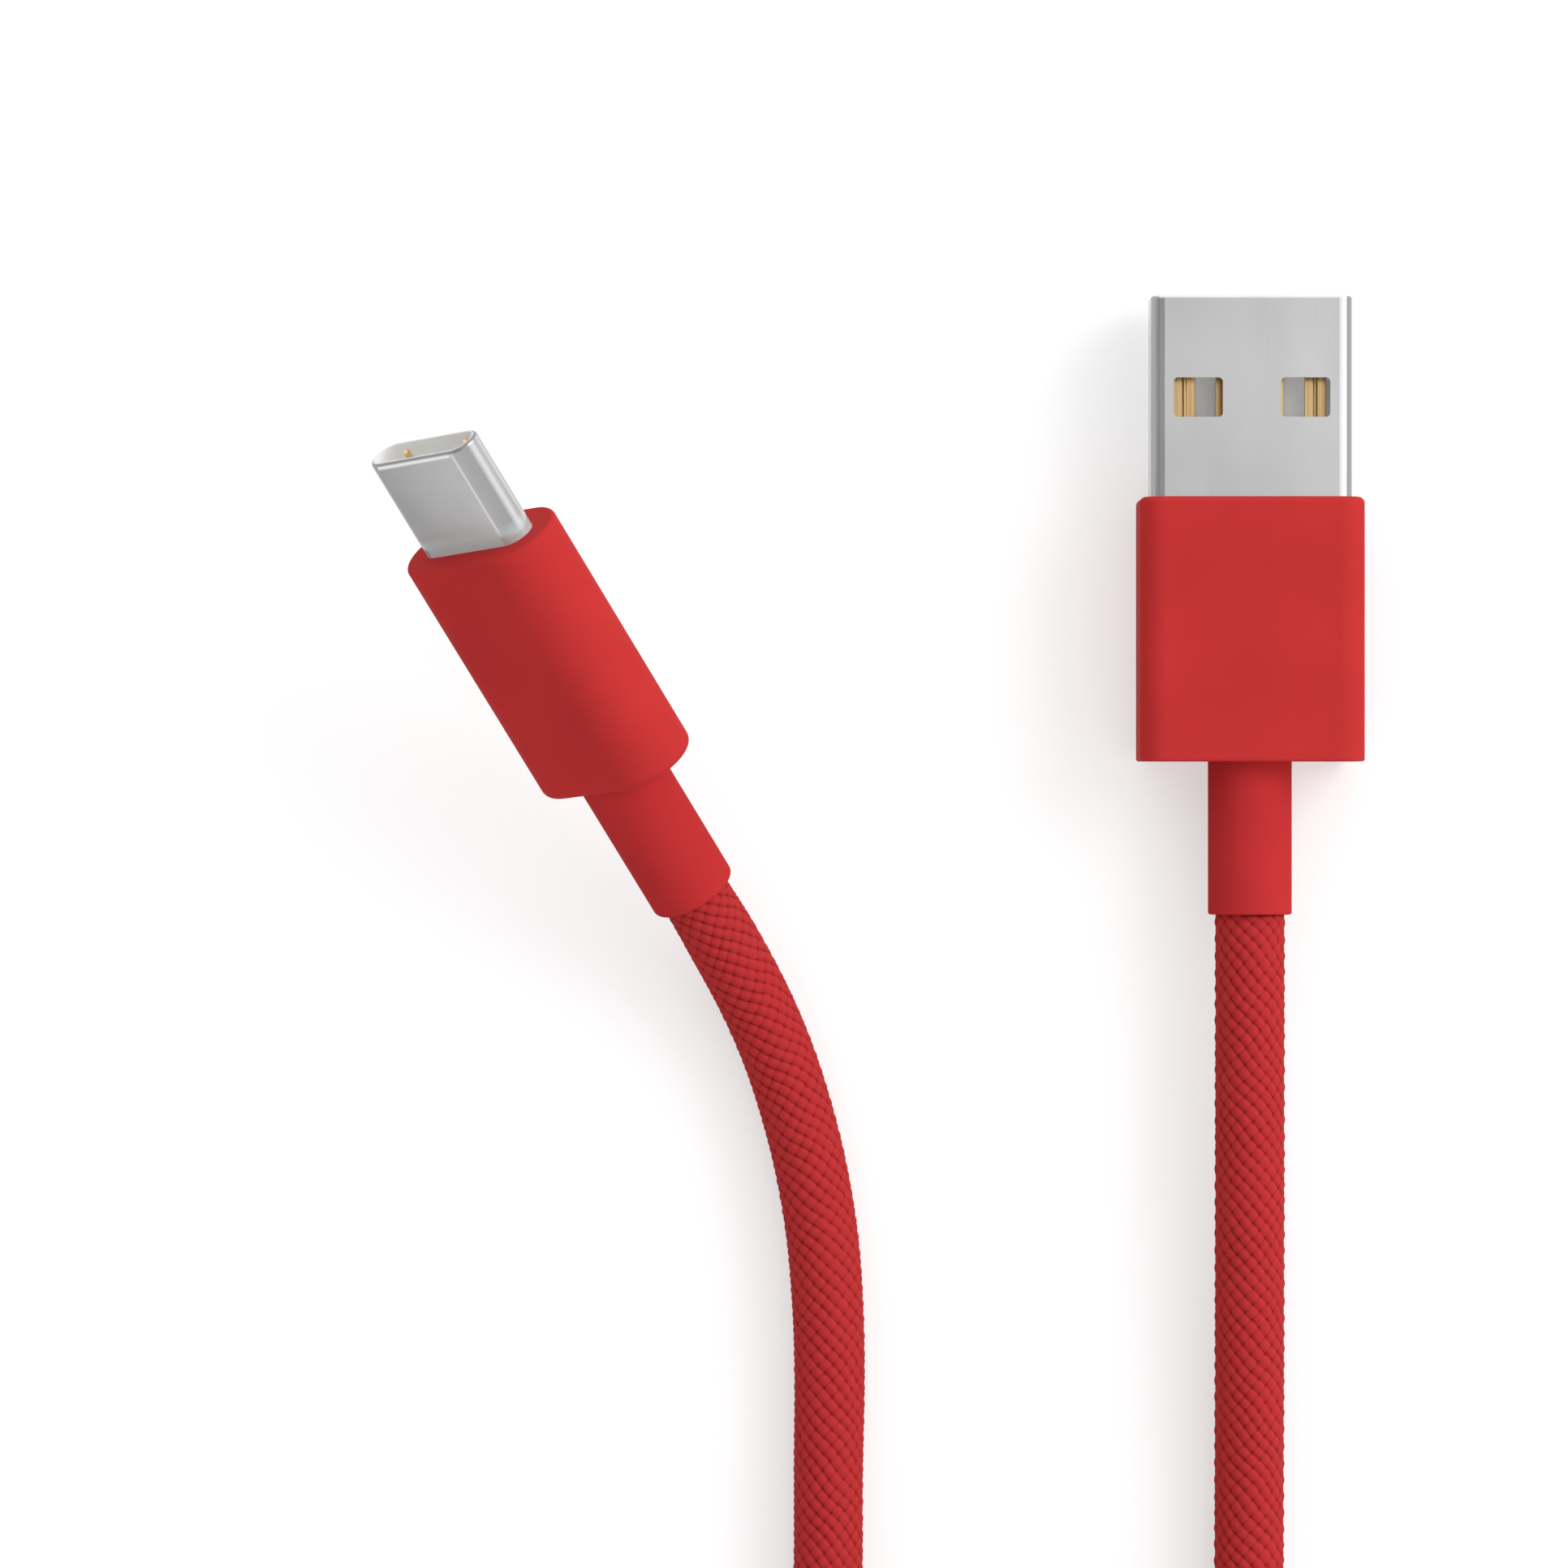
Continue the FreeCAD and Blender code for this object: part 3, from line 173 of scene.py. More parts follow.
class StrapSettings(PropertyGroup):
    thickness: distance("Thickness", "Strap's thickness", 0.0006)
    bend: distance("Bend", "Inside of the strap's corners", 0.0015)
    start: distance("Start", "Tape's start, past the middle of the bundle", 0.0025)
    tail: distance("Tail", "Tape's lapped end, past the middle on the other side", 0.0045)
    rounding: distance("Rounding", "Corners of the lapped end", 0.0024)
    edge: distance("Edge", "Bevel along the tape's edges", 0.00012)
    tape: colour("Tape Colour", "Looped tape", (0.018, 0.018, 0.02))


class PlugSettings(PropertyGroup):
    cover: colour("Cover Colour", "Moulded covers", (0.535, 0.035, 0.034))
    relief: colour("Relief Colour", "Soft strain reliefs", (0.505, 0.031, 0.032))
    steel: colour("Steel Colour", "Flat plug's shell", (0.82, 0.82, 0.82))
    satin: colour("Satin Steel Colour", "Oval plug's shell, its flat faces", (0.475, 0.475, 0.475))
    drawn: colour("Drawn Steel Colour", "Oval plug's shell, its round sides", (0.66, 0.66, 0.66))
    lining: colour("Lining Colour", "Inside of the oval plug's shell", (0.98, 0.98, 0.97))
    gold: colour("Gold Colour", "Contacts", (1.0, 0.63, 0.295))
    tongue: colour("Tongue Colour", "Flat plug's plastic", (0.98, 0.98, 0.97))
    slot: colour("Slot Colour", "Oval plug's plastic", (0.8, 0.8, 0.79))
    mould: colour("Mould Colour", "Moulds inside the covers", (0.72, 0.7, 0.66))
    card: colour("Card Colour", "Circuit board", (0.02, 0.12, 0.05))
    resistor: colour("Resistor Colour", "Resistor's glaze", (0.02, 0.02, 0.022))


class CableSettings(PropertyGroup):
    studio: group("Studio", "Camera, light and floor", StudioSettings)
    cord: group("Cord", "Woven cord", CordSettings)
    coil: group("Coil", "Put-away length", CoilSettings)
    strap: group("Strap", "Strap round the coil", StrapSettings)
    plugs: group("Plugs", "Finishes of both plugs", PlugSettings)


# Finishes


def tint(shade, level=1.0):
    """A colour at some level of brightness, for a shader."""
    return (*(level * part for part in shade), 1.0)


def grey(level):
    return (level, level, level, 1.0)


class Tree:
    """The nodes of a material or a world, with short ways to add and join them."""

    def __init__(self, owner):
        owner.use_nodes = True
        self.nodes = owner.node_tree.nodes
        self.links = owner.node_tree.links

    def feed(self, socket, value):
        if isinstance(value, bpy.types.NodeSocket):
            self.links.new(value, socket)
        else:
            socket.default_value = value

    def add(self, kind, inputs=None, **settings):
        node = self.nodes.new(kind)
        for name, value in settings.items():
            setattr(node, name, value)
        for socket, value in (inputs or {}).items():
            self.feed(node.inputs[socket], value)
        return node

    def calc(self, operation, first, second=0.0, third=0.0):
        inputs = {0: first, 1: second, 2: third}
        return self.add("ShaderNodeMath", inputs, operation=operation).outputs[0]

    def parts(self, vector):
        """The X, Y and Z of a vector."""
        return list(self.add("ShaderNodeSeparateXYZ", {0: vector}).outputs)

    def off(self, value, centre):
        """How far a value is from a centre, to either side."""
        return self.calc("ABSOLUTE", self.calc("SUBTRACT", value, centre))

    def spread(self, value, low=0.0, high=1.0, start=0.25, end=0.75, **how):
        """A value whose span, by default that of noise, is moved to the span from low to high."""
        inputs = {"Value": value, "From Min": start, "From Max": end, "To Min": low, "To Max": high}
        return self.add("ShaderNodeMapRange", inputs, **how).outputs[0]

    def rise(self, value, start, end, **how):
        """From 0 where the value starts to 1 where it ends."""
        return self.spread(value, 0.0, 1.0, start, end, **how)

    def fall(self, value, start, end):
        """From 1 where the value starts to 0 where it ends."""
        return self.spread(value, 1.0, 0.0, start, end)

    def blend(self, factor, first, second):
        inputs = {0: factor, 6: first, 7: second}
        return self.add("ShaderNodeMix", inputs, data_type="RGBA").outputs[2]

    def ramp(self, place, levels, shade=(1.0, 1.0, 1.0)):
        """One shade, at several places and levels."""
        node = self.add("ShaderNodeValToRGB", {0: place})
        stops = node.color_ramp.elements
        for stop, (position, level) in zip(stops, (levels[0], levels[-1])):
            stop.position = position
            stop.color = tint(shade, level)
        for position, level in levels[1:-1]:
            stops.new(position).color = tint(shade, level)
        return node.outputs["Color"]


class Finish(Tree):
    """A material under construction."""

    def __init__(self, name, shade, roughness, metallic=0.0, specular=0.5):
        self.material = bpy.data.materials.new(name)
        super().__init__(self.material)
        self.shader = self.nodes["Principled BSDF"]
        self.set("Base Color", tint(shade))
        self.set("Roughness", roughness)
        self.set("Metallic", metallic)
        self.set("Specular IOR Level", specular)
        self.place = self.add("ShaderNodeTexCoord").outputs["Object"]

    def lean(self):
        """Patterns follow the oval plug's own axes, with Y along it."""
        turn, lift, roll = (math.radians(part) for part in OVAL_LEAN)
        axes = Matrix.Rotation(turn, 3, "Z") @ Matrix.Rotation(lift, 3, "X")
        axes = axes @ Matrix.Rotation(roll, 3, "Y")
        inputs = {"Vector": self.place, "Location": OVAL_EXIT, "Rotation": axes.to_euler()}
        self.place = self.add("ShaderNodeMapping", inputs, vector_type="TEXTURE").outputs[0]

    def set(self, socket, value):
        self.feed(self.shader.inputs[socket], value)

    def noise(self, size, detail=2.0, stretch=(1.0, 1.0, 1.0), turn=(0.0, 0.0, 0.0)):
        """Noise whose features are about as large as the size, in metres."""
        inputs = {"Vector": self.place, "Rotation": turn, "Scale": stretch}
        mapping = self.add("ShaderNodeMapping", inputs)
        inputs = {"Vector": mapping.outputs[0], "Scale": 1.0 / size, "Detail": detail}
        return self.add("ShaderNodeTexNoise", inputs).outputs["Fac"]

    def shade_by(self, factor, shade, low, high):
        """The colour, scaled between low and high by a factor from 0 to 1."""
        light = tuple(min(1.0, part) for part in tint(shade, high))
        self.set("Base Color", self.blend(factor, tint(shade, low), light))

    def bump(self, height, depth, before=None):
        """Raises the surface by up to a depth in metres."""
        node = self.add("ShaderNodeBump", {"Height": height, "Distance": depth, "Strength": 1.0})
        if before is not None:
            self.feed(node.inputs["Normal"], before)
        self.set("Normal", node.outputs[0])
        return node.outputs[0]

    def roll(self, clouds, roughness):
        """Hairlines along Y over a slow swell, as rolling leaves them; gives the new roughness."""
        hairs = self.noise(0.09 * MM, stretch=(1.0, 0.04, 1.0))
        swell = self.bump(clouds, 10 * MICRON)
        self.bump(hairs, 0.4 * MICRON, before=swell)
        return self.spread(hairs, roughness - 0.03, roughness + 0.05)


def dress(names, material):
    """Gives a material to every CAD node of these slots or names."""
    for part in frame["record"]["subparts"]:
        if part["material_slot"] in names or part["node"] in names:
            for slot in frame["nodes"][part["node"]].material_slots:
                slot.material = material


def mould(names, name, shade, roughness, specular, grain):
    """Moulded plastic: a slow drift of its colour, and a fine grain this many microns deep."""
    finish = Finish(name, shade, roughness, specular=specular)
    finish.shade_by(finish.spread(finish.noise(6 * MM)), shade, 0.94, 1.05)
    fine = finish.noise(0.12 * MM, detail=3.0)
    finish.set("Roughness", finish.spread(fine, roughness - 0.05, roughness + 0.07))
    finish.bump(fine, grain * MICRON)
    dress(names, finish.material)


def plated(name, shade, roughness, cloud):
    """Plated sheet: soft clouds in its polish and hairlines along its length."""
    finish = Finish(name, shade, roughness, metallic=1.0)
    clouds = finish.noise(5 * MM, detail=3.0)
    finish.shade_by(finish.spread(clouds), shade, 1.0 - cloud, 1.0 + cloud)
    finish.set("Roughness", finish.roll(clouds, roughness))
    return finish.material


def folded_shell(name, shade, roughness, cloud):
    """The flat shell: plated sheet, with painted shade along its side bends and darker painted
    shade at their outer edges.
    """
    bend_shade, outer_shade = 0.56, 0.43  # levels of the painted shade on the bends and on their outer edges
    finish = Finish(name, shade, roughness, metallic=1.0)
    clouds = finish.noise(5.5 * MM, 1.5, stretch=(1.0, 0.6, 1.0), turn=(0.0, 0.0, 0.6))
    across = finish.parts(finish.place)[0]
    bend_shade_middle, outer_shade_middle = 0.13 * MM, -0.06 * MM  # neither band of painted shade is quite even on both sides
    past_face = finish.calc("SUBTRACT", finish.off(across, bend_shade_middle), FLAT_FACE_HALF)
    bend = finish.rise(past_face, 0.0, 0.12 * MM)
    past_face = finish.calc("SUBTRACT", finish.off(across, outer_shade_middle), FLAT_FACE_HALF)
    edge = finish.rise(past_face, 0.08 * MM, 0.16 * MM)
    dark, light = tint(shade, 1.0 - cloud), tint(shade, 1.0 + cloud)
    sheet = finish.blend(finish.spread(clouds), dark, light)
    # Painted shade along the side bends, darker still at their outer edges
    sheet = finish.blend(bend, sheet, tint(shade, bend_shade))
    finish.set("Base Color", finish.blend(edge, sheet, tint(shade, outer_shade)))
    finish.set("Roughness", finish.roll(clouds, roughness))
    return finish.material


# Painted reflection bands on the oval shell's round side, from one face round to the other
SIDE_REFLECTION_BANDS = [
    (0.0, 0.7), (0.1, 0.35), (0.2, 0.6), (0.34, 0.95), (0.43, 0.62), (0.5, 0.74),
    (0.58, 1.07), (0.66, 0.86), (0.72, 0.51), (0.82, 0.57), (0.92, 0.65), (1.0, 0.72),
]

FAR_SIDE_SHADE, SEAM_AND_LIP_HIGHLIGHT, CUT_EDGE_SHADE = 0.3, 0.76, 0.3  # levels of the oval shell's painted shade on its far round side, painted highlight on seam and lip, and painted shade at its cut edge
SATIN_SPAN = (0.74, 1.25)  # levels of its faces from dark to light, over their clouds and a painted shade across them

# Painted light on its foot, paler and cooler, to cancel the shade and the red light that the cover
# throws there: faces and round sides
FOOT_FACE_PAINTED_LIGHT = (0.67, 0.9, 0.9)
FOOT_SIDE_PAINTED_LIGHT = (0.6, 0.74, 0.74)


class DrawnShell(Finish):
    """The oval shell, in its own axes: satin faces, polished sides with painted reflections, seams
    and lip with painted highlights, pale inside.
    """

    def __init__(self, name, plugs):
        super().__init__(name, plugs.satin, 0.3, metallic=1.0)
        self.lean()
        self.flat_half = (SHELL_WIDTH - SHELL_HEIGHT) / 2
        self.x, self.y, self.z = self.parts(self.place)
        self.clouds = self.noise(5 * MM, detail=3.0)
        self.mark_places()
        self.colour_places(plugs)
        self.polish_places()

    def mark_places(self):
        """Where each finish is, from 0 to 1: inside, round sides, polish with its painted
        highlight, painted shade at the cut edge, and the foot's painted light.
        """
        across = self.calc("ABSOLUTE", self.x)
        past_flat = self.calc("SUBTRACT", across, self.flat_half)
        aside = self.calc("MAXIMUM", past_flat)
        away = self.add("ShaderNodeCombineXYZ", {0: aside, 1: self.z}).outputs[0]
        reach = self.add("ShaderNodeVectorMath", {0: away}, operation="LENGTH").outputs["Value"]
        self.inside = self.calc("LESS_THAN", reach, SHELL_INSIDE)
        self.side = self.rise(past_flat, 0.05 * MM, 0.2 * MM)
        from_seam = self.off(past_flat, 0.25 * MM)
        seam = self.spread(from_seam, 0.9, 0.0, 0.01 * MM, 0.13 * MM)
        seam = self.calc("MULTIPLY", seam, self.calc("GREATER_THAN", self.x, 0.0))
        from_mouth = self.calc("SUBTRACT", SHELL_MOUTH, self.y)
        lip = self.fall(from_mouth, 0.28 * MM, 0.4 * MM)
        lip = self.calc("MULTIPLY", lip, self.calc("SUBTRACT", 1.0, self.side))
        # The seam and the lip are polished, and they also carry a painted highlight
        self.polish_and_highlight = self.calc("MAXIMUM", seam, lip)
        # Where the painted shade along the mouth's cut edge lies
        self.cut_edge_shade = self.fall(from_mouth, 0.08 * MM, 0.16 * MM)
        self.foot = self.fall(self.y, SHELL_FOOT, SHELL_FOOT + 1.3 * MM)

    def colour_places(self, plugs):
        """Clouds over a painted shade from dark to light across the faces, painted reflection bands
        round the sides, and painted highlights, shade and light over them.
        """
        # A painted shade across the faces, darker on one side and lighter on the other
        face_shade_gradient = self.spread(self.x, -0.38, 0.37, -self.flat_half, self.flat_half)
        cloud = self.calc("ADD", self.spread(self.clouds, 0.3, 0.7), face_shade_gradient)
        face = self.blend(cloud, *(tint(plugs.satin, level) for level in SATIN_SPAN))
        round_way = self.rise(self.z, -SHELL_HEIGHT / 2, SHELL_HEIGHT / 2)
        # Painted reflection bands round the near round side
        side_reflections = self.ramp(round_way, SIDE_REFLECTION_BANDS, plugs.drawn)
        far_side = self.calc("LESS_THAN", self.x, -self.flat_half)
        # The far round side is a flat painted shade
        shade = self.blend(self.side, face, self.blend(far_side, side_reflections, grey(FAR_SIDE_SHADE)))
        # Painted highlight on the seam and the lip
        shade = self.blend(self.polish_and_highlight, shade, grey(SEAM_AND_LIP_HIGHLIGHT))
        # Painted shade along the mouth's cut edge
        shade = self.blend(self.cut_edge_shade, shade, grey(CUT_EDGE_SHADE))
        # Painted light at the foot
        foot_painted_light = self.blend(self.side, tint(FOOT_FACE_PAINTED_LIGHT), tint(FOOT_SIDE_PAINTED_LIGHT))
        shade = self.blend(self.foot, shade, foot_painted_light)
        self.set("Base Color", self.blend(self.inside, shade, tint(plugs.lining)))

    def polish_places(self):
        """The round sides are more metallic and smoother than the faces, and the inside is dull."""
        face_metal, side_metal, foot_loss = 0.2, 0.7, 0.8
        face_rough, side_smoother, inside_rougher = 0.35, 0.14, 0.3
        metal = self.spread(self.side, face_metal, side_metal, 0.0, 1.0)
        metal = self.calc("MAXIMUM", metal, self.polish_and_highlight)
        kept = self.calc("MULTIPLY_ADD", self.foot, -foot_loss, 1.0)
        kept = self.calc("MULTIPLY", kept, self.calc("SUBTRACT", 1.0, self.inside))
        self.set("Metallic", self.calc("MULTIPLY", metal, kept))
        rough = self.roll(self.clouds, face_rough)
        rough = self.calc("MULTIPLY_ADD", self.side, -side_smoother, rough)
        self.set("Roughness", self.calc("MULTIPLY_ADD", self.inside, inside_rougher, rough))


def gilded(name, shade, leans):
    """Gold plate over a drawn strip, with streaks along it."""
    finish = Finish(name, shade, 0.24, metallic=1.0)
    if leans:
        finish.lean()
    streaks = finish.noise(0.16 * MM, stretch=(1.0, 0.01, 1.0))
    finish.shade_by(finish.rise(streaks, 0.35, 0.65), shade, 0.84, 1.15)
    finish.set("Roughness", finish.spread(streaks, 0.14, 0.24))
    finish.bump(streaks, MICRON)
    return finish.material


def looped_tape(name, shade):
    """Hook-and-loop tape: a short dense pile with a little sheen, with painted shade in the pile's
    hollows and painted light on its tops.
    """
    finish = Finish(name, shade, 0.9, specular=0.2)
    finish.set("Sheen Weight", 0.35)
    finish.set("Sheen Roughness", 0.5)
    inputs = {"Vector": finish.place, "Scale": 1.0 / (0.45 * MM)}
    loops = finish.add("ShaderNodeTexVoronoi", inputs, feature="SMOOTH_F1").outputs["Distance"]
    pile = finish.noise(0.16 * MM, detail=4.0)
    height = finish.calc("MULTIPLY_ADD", pile, 0.8, loops)
    # Painted shade in the pile's hollows and painted light on its tops
    finish.shade_by(finish.rise(height, 0.3, 1.1), shade, 0.5, 2.2)
    finish.bump(height, 0.18 * MM)
    return finish.material


# Where a strand goes under a crossing one and where it goes over it: the power of the sine that
# rounds its back, and how far it stands out
UNDER, OVER = 0.4, 0.6
UNDER_STANDS, OVER_STANDS = -0.01 * MM, 0.025 * MM


def woven(name, cord):
    """Braided yarn, on the cord's own map: strands across it, and strands along it, with painted
    shade in the hollows between them.
    """
    fibres, uneven = 6, 0.16  # in a strand's width; how much strands differ in brightness
    finish = Finish(name, cord.crown, 0.7, specular=0.08)
    chart = finish.add("ShaderNodeUVMap", uv_map="braid").outputs[0]
    strands = float(cord.strands)
    around, along = (finish.calc("MULTIPLY", part, strands) for part in finish.parts(chart)[:2])
    leading = finish.calc("ADD", around, along)
    crossing = finish.calc("SUBTRACT", around, along)
    floors = [finish.calc("FLOOR", phase) for phase in (leading, crossing)]
    half = finish.calc("MULTIPLY", finish.calc("ADD", *floors), 0.5)
    over = finish.calc("MULTIPLY", finish.calc("FRACT", half), 2.0)  # 1 where leading ones are over

    def back(phase, leading_under, leading_over):
        sine = finish.calc("SINE", finish.calc("MULTIPLY", finish.calc("FRACT", phase), math.pi))
        more = leading_over - leading_under
        return finish.calc("POWER", sine, finish.calc("MULTIPLY_ADD", over, more, leading_under))

    depth = cord.groove + cord.notch
    notches = finish.calc("MULTIPLY", back(crossing, OVER, UNDER), cord.notch / depth)
    ridges = back(leading, UNDER, OVER)
    height = finish.calc("MULTIPLY_ADD", ridges, cord.groove / depth, notches)
    cell = finish.add("ShaderNodeCombineXYZ", {0: floors[0], 1: floors[1]}).outputs[0]
    chance = finish.add("ShaderNodeTexWhiteNoise", {"Vector": cell}, noise_dimensions="2D")
    lowered = finish.calc("SUBTRACT", height, uneven / 2)
    level = finish.calc("MULTIPLY_ADD", chance.outputs["Value"], uneven, lowered)
    # Colour by the weave's height: painted shade in the hollows, the yarn's colour on the crowns,
    # and a random difference between strands
    yarn_and_groove_shade = finish.blend(finish.rise(level, 0.2, 0.76), tint(cord.hollow), tint(cord.crown))
    finish.set("Base Color", yarn_and_groove_shade)
    waves = [
        finish.calc("SINE", finish.calc("MULTIPLY", phase, 2.0 * math.pi * fibres))
        for phase in (leading, crossing)
    ]
    fibre = finish.add("ShaderNodeMix", {0: over, 2: waves[0], 3: waves[1]}, data_type="FLOAT")
    hair = finish.noise(0.06 * MM, detail=3.0)
    fuzz = finish.calc("MULTIPLY_ADD", hair, 2.0, fibre.outputs[0])
    plain = finish.add("ShaderNodeAttribute", attribute_name="plain").outputs["Fac"]
    weave = finish.bump(finish.calc("MULTIPLY", height, plain), depth)
    finish.bump(fuzz, 6 * MICRON, before=weave)
    return finish.material


# The cord's line


class Coil:
    """The put-away length: clockwise from its right side, in and out in layers."""

    points_per_turn = 24
    points_per_bend = 3
    strap_clearance = 0.1 * MM

    def __init__(self, settings):
        coil = settings.coil
        self.settings = coil
        self.radius = settings.cord.diameter / 2
        self.pitch = settings.cord.diameter + coil.gap
        self.inner = coil.inner_radius
        self.outer = self.inner + coil.turns_in_layer * self.pitch
        self.last = self.outer + self.pitch
        self.top = coil.layers * coil.turns_in_layer
        self.down = self.top + coil.layer_change
        self.lift = settings.strap.thickness + self.strap_clearance
        self.step = 1.0 / self.points_per_turn
        # A spline through these points runs inside them, so they stand out by that much.
        self.bulge = 4.0 / (3.0 + math.cos(2.0 * math.pi * self.step))
        self.set_joins()

    def set_joins(self):
        """Where the bends of the leads touch the coil."""
        coil = self.settings
        bend = coil.lead_bend
        self.leave_centre = Vector((coil.leave_across - bend, coil.leave_along, 0.0))
        leave_reach = self.last + bend
        aside = coil.across - self.leave_centre.x
        along = coil.leave_along - math.sqrt(leave_reach**2 - aside**2)
        self.centre = Vector((coil.across, along, 0.0))
        self.leave = math.acos(aside / leave_reach)
        join_reach = self.outer + bend
        away = bend - coil.across
        self.join = math.acos(away / join_reach)
        along = self.centre.y + math.sqrt(join_reach**2 - away**2)
        self.join_centre = Vector((bend, along, 0.0))

    @staticmethod
    def ramp(turn, start, long):
        part = min(1.0, max(0.0, (turn - start) / long))
        return 0.5 - 0.5 * math.cos(math.pi * part)

    def reach(self, turn):
        """The cord's distance from the coil's middle."""
        if turn < 0.0:
            return self.outer - self.pitch * turn
        if turn > self.down:
            return self.last
        change = self.settings.layer_change
        aside = self.pitch / 2 * self.ramp(turn, self.top - change / 2, change)
        if turn > self.top:
            return self.outer + self.pitch * (turn - self.top) + aside
        swing = turn % (2.0 * self.settings.turns_in_layer)
        return self.inner + self.pitch * abs(swing - self.settings.turns_in_layer) + aside

    def height(self, turn, across):
        """The cord's height: a layer up where the spiral reverses, and tilted up on the strap."""
        change = self.settings.layer_change
        reversals = range(1, self.settings.layers)
        starts = [self.settings.turns_in_layer * k - change / 2 for k in reversals]
        layers = sum(self.ramp(turn, start, change) for start in starts)
        first = -self.join / (2.0 * math.pi)
        up = self.ramp(turn, first, -first)
        down = 1.0 - self.ramp(turn, self.down - change / 2, change / 2)
        tilt = self.lift * (0.5 + 0.5 * across)
        return self.radius + (tilt * up + layers * self.pitch) * down

    def point(self, turn):
        angle = 2.0 * math.pi * turn
        way = Vector((math.cos(angle), -math.sin(angle), 0.0))
        place = self.centre + way * self.reach(turn) * self.bulge
        place.z = self.height(turn, way.y)
        return place

    def bend(self, centre, start, sweep):
        """A lead's bend, in even steps."""
        for k in range(self.points_per_bend):
            angle = start + sweep * (k + 0.5) / self.points_per_bend
            way = Vector((math.cos(angle), math.sin(angle), 0.0))
            place = centre + way * self.settings.lead_bend
            place.z = self.radius
            yield place

    def points(self):
        entry = list(self.bend(self.join_centre, math.pi, self.join))
        first = math.ceil(-self.join / (2.0 * math.pi) / self.step)
        last = math.floor((self.down + self.leave / (2.0 * math.pi)) / self.step)
        winding = [self.point(k * self.step) for k in range(first, last + 1)]
        leaving = list(self.bend(self.leave_centre, -self.leave, self.leave))
        return entry + winding + leaving


class Line:
    """The cord's middle line, read from its spline, by length along it."""

    def __init__(self, points):
        curve = bpy.data.curves.new("cord_line", "CURVE")
        curve.dimensions = "3D"
        spline = curve.splines.new("NURBS")
        spline.points.add(len(points) - 1)
        for place, point in zip(spline.points, points):
            place.co = (*point, 1.0)
        spline.order_u = 3
        spline.use_endpoint_u = True
        spline.resolution_u = 48
        holder = bpy.data.objects.new("cord_line", curve)
        mesh = bpy.data.meshes.new_from_object(holder)
        self.places = [vertex.co.copy() for vertex in mesh.vertices]
        bpy.data.meshes.remove(mesh)
        bpy.data.objects.remove(holder)
        bpy.data.curves.remove(curve)
        self.lengths = [0.0]
        for before, after in zip(self.places, self.places[1:]):
            self.lengths.append(self.lengths[-1] + (after - before).length)
        self.length = self.lengths[-1]
        self.index = 0

    def at(self, station):
        """The place and heading at a length along the line; stations are asked for in order."""
        last = len(self.places) - 2
        while self.index < last and self.lengths[self.index + 1] < station:
            self.index += 1
        before, after = self.places[self.index], self.places[self.index + 1]
        span = self.lengths[self.index + 1] - self.lengths[self.index]
        part = (station - self.lengths[self.index]) / span
        return before.lerp(after, part), (after - before).normalized()

    def station_past(self, level, from_end):
        """How far along the line its Y first passes a level, from one end."""
        order = range(len(self.places))
        for index in reversed(order) if from_end else order:
            if self.places[index].y < level:
                return self.lengths[index]
        return 0.0


# The woven sleeve


